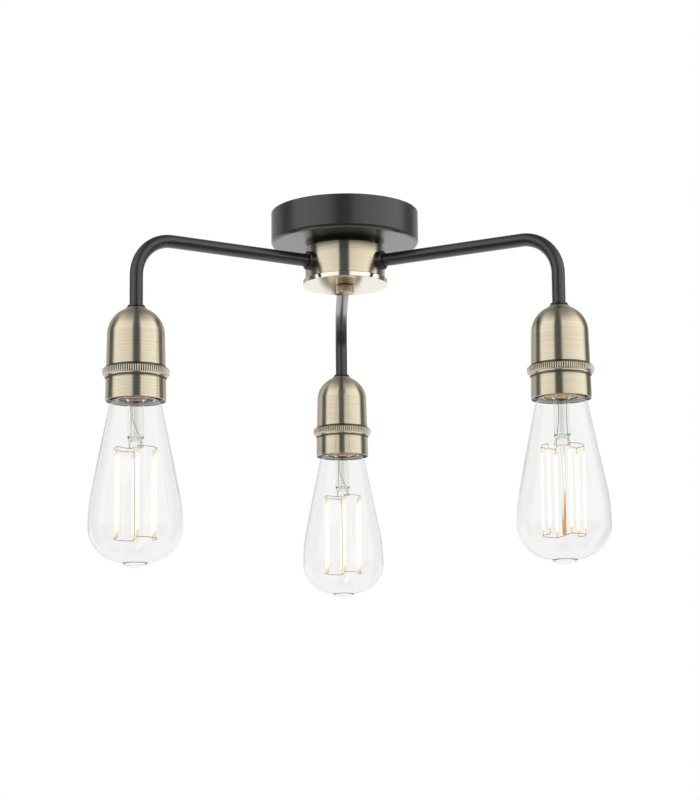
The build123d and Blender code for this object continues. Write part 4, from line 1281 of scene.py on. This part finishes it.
def card(name, colour, corners, sides, top):
    """A card that only reflections see, with sides and a top that fade over a share of its size."""
    finish, graph = material(name)
    place = graph.split(graph.where("UV"))
    cover = eased(place, sides) * eased(1.0 - place, sides) * eased(1.0 - place.output("Y"), top)
    glow = graph.node("ShaderNodeEmission", {}, {"Color": (*colour, 1.0), "Strength": 1.0})
    clear = graph.node("ShaderNodeBsdfTransparent")
    mixed = graph.node("ShaderNodeMixShader", {}, {0: cover, 1: clear, 2: glow})
    graph.node("ShaderNodeOutputMaterial", {}, {"Surface": mixed})
    hide(stage_sheet(name, corners, finish), "camera", "diffuse", "transmission", "shadow")


def upright(middle, width, high):
    """The corners of an upright card that faces the hub, from the floor up."""
    across = Vector((-middle[1], middle[0])).normalized() * width / 2
    first, second = Vector(middle) - across, Vector(middle) + across
    return [(*first, FLOOR_LEVEL), (*second, FLOOR_LEVEL), (*second, high), (*first, high)]


DARK = (0.088, 0.102, 0.122)
card("front_card", DARK, upright((-0.05, -0.8), 0.50, 1.0), 0.2, 0.001)
card("top_card", DARK, [(-0.25, -0.8, 1.0), (0.15, -0.8, 1.0), (0.15, 0.3, 1.0), (-0.25, 0.3, 1.0)], 0.2, 0.2)
card("left_card", DARK, upright((-1.055, 0.217), 0.82, 1.3), 0.35, 0.3)
card("right_card", (0.12, 0.13, 0.14), upright((0.955, 0.475), 0.80, 1.3), 0.3, 0.3)


def soft_light(name, place, aim, width, height, strength):
    """A large rectangular light of even brightness."""
    lamp = bpy.data.lights.new(name, "AREA")
    lamp.shape = "RECTANGLE"
    lamp.size = width
    lamp.size_y = height
    lamp.energy = strength * pi * width * height
    made = in_scene(name, lamp)
    made.location = place
    made.rotation_euler = (Vector(aim) - Vector(place)).to_track_quat("-Z", "Y").to_euler()
    hide(made, "camera", "glossy", "transmission")


soft_light("left_light", (-1.3, -1.1, 0.1), (0, 0, -0.12), 0.9, 1.2, 1.1)
soft_light("right_light", (1.3, -1.0, 0.1), (0, 0, -0.12), 0.9, 1.2, 1.4)
soft_light("low_light", (0.0, -0.9, -0.8), (0, 0, -0.12), 1.4, 0.6, 0.6)


# Camera: where the photograph was taken from, below the light and looking a little up, with a small
# shift that keeps the lampholders upright.
camera_data = bpy.data.cameras.new("camera")
camera = in_scene("camera", camera_data)
bpy.context.scene.camera = camera
PHOTO_HEIGHT = 800.0
FOCAL_PIXELS = 2042.1
camera_data.sensor_width = 36.0
camera_data.lens = FOCAL_PIXELS / PHOTO_HEIGHT * camera_data.sensor_width
camera_data.shift_y = 0.12
camera_data.clip_start = 0.01
camera.location = (-0.0319, -1.4499, -0.4045)
camera.rotation_mode = "XYZ"
CAMERA_YAW = 1.336
CAMERA_PITCH = 7.712
CAMERA_ROLL = -0.590
heading = Matrix.Rotation(radians(-CAMERA_YAW), 4, "Z") @ Matrix.Rotation(radians(90 + CAMERA_PITCH), 4, "X")
camera.rotation_euler = (heading @ Matrix.Rotation(radians(CAMERA_ROLL), 4, "Z")).to_euler()

bpy.context.scene.view_settings.view_transform = "Standard"
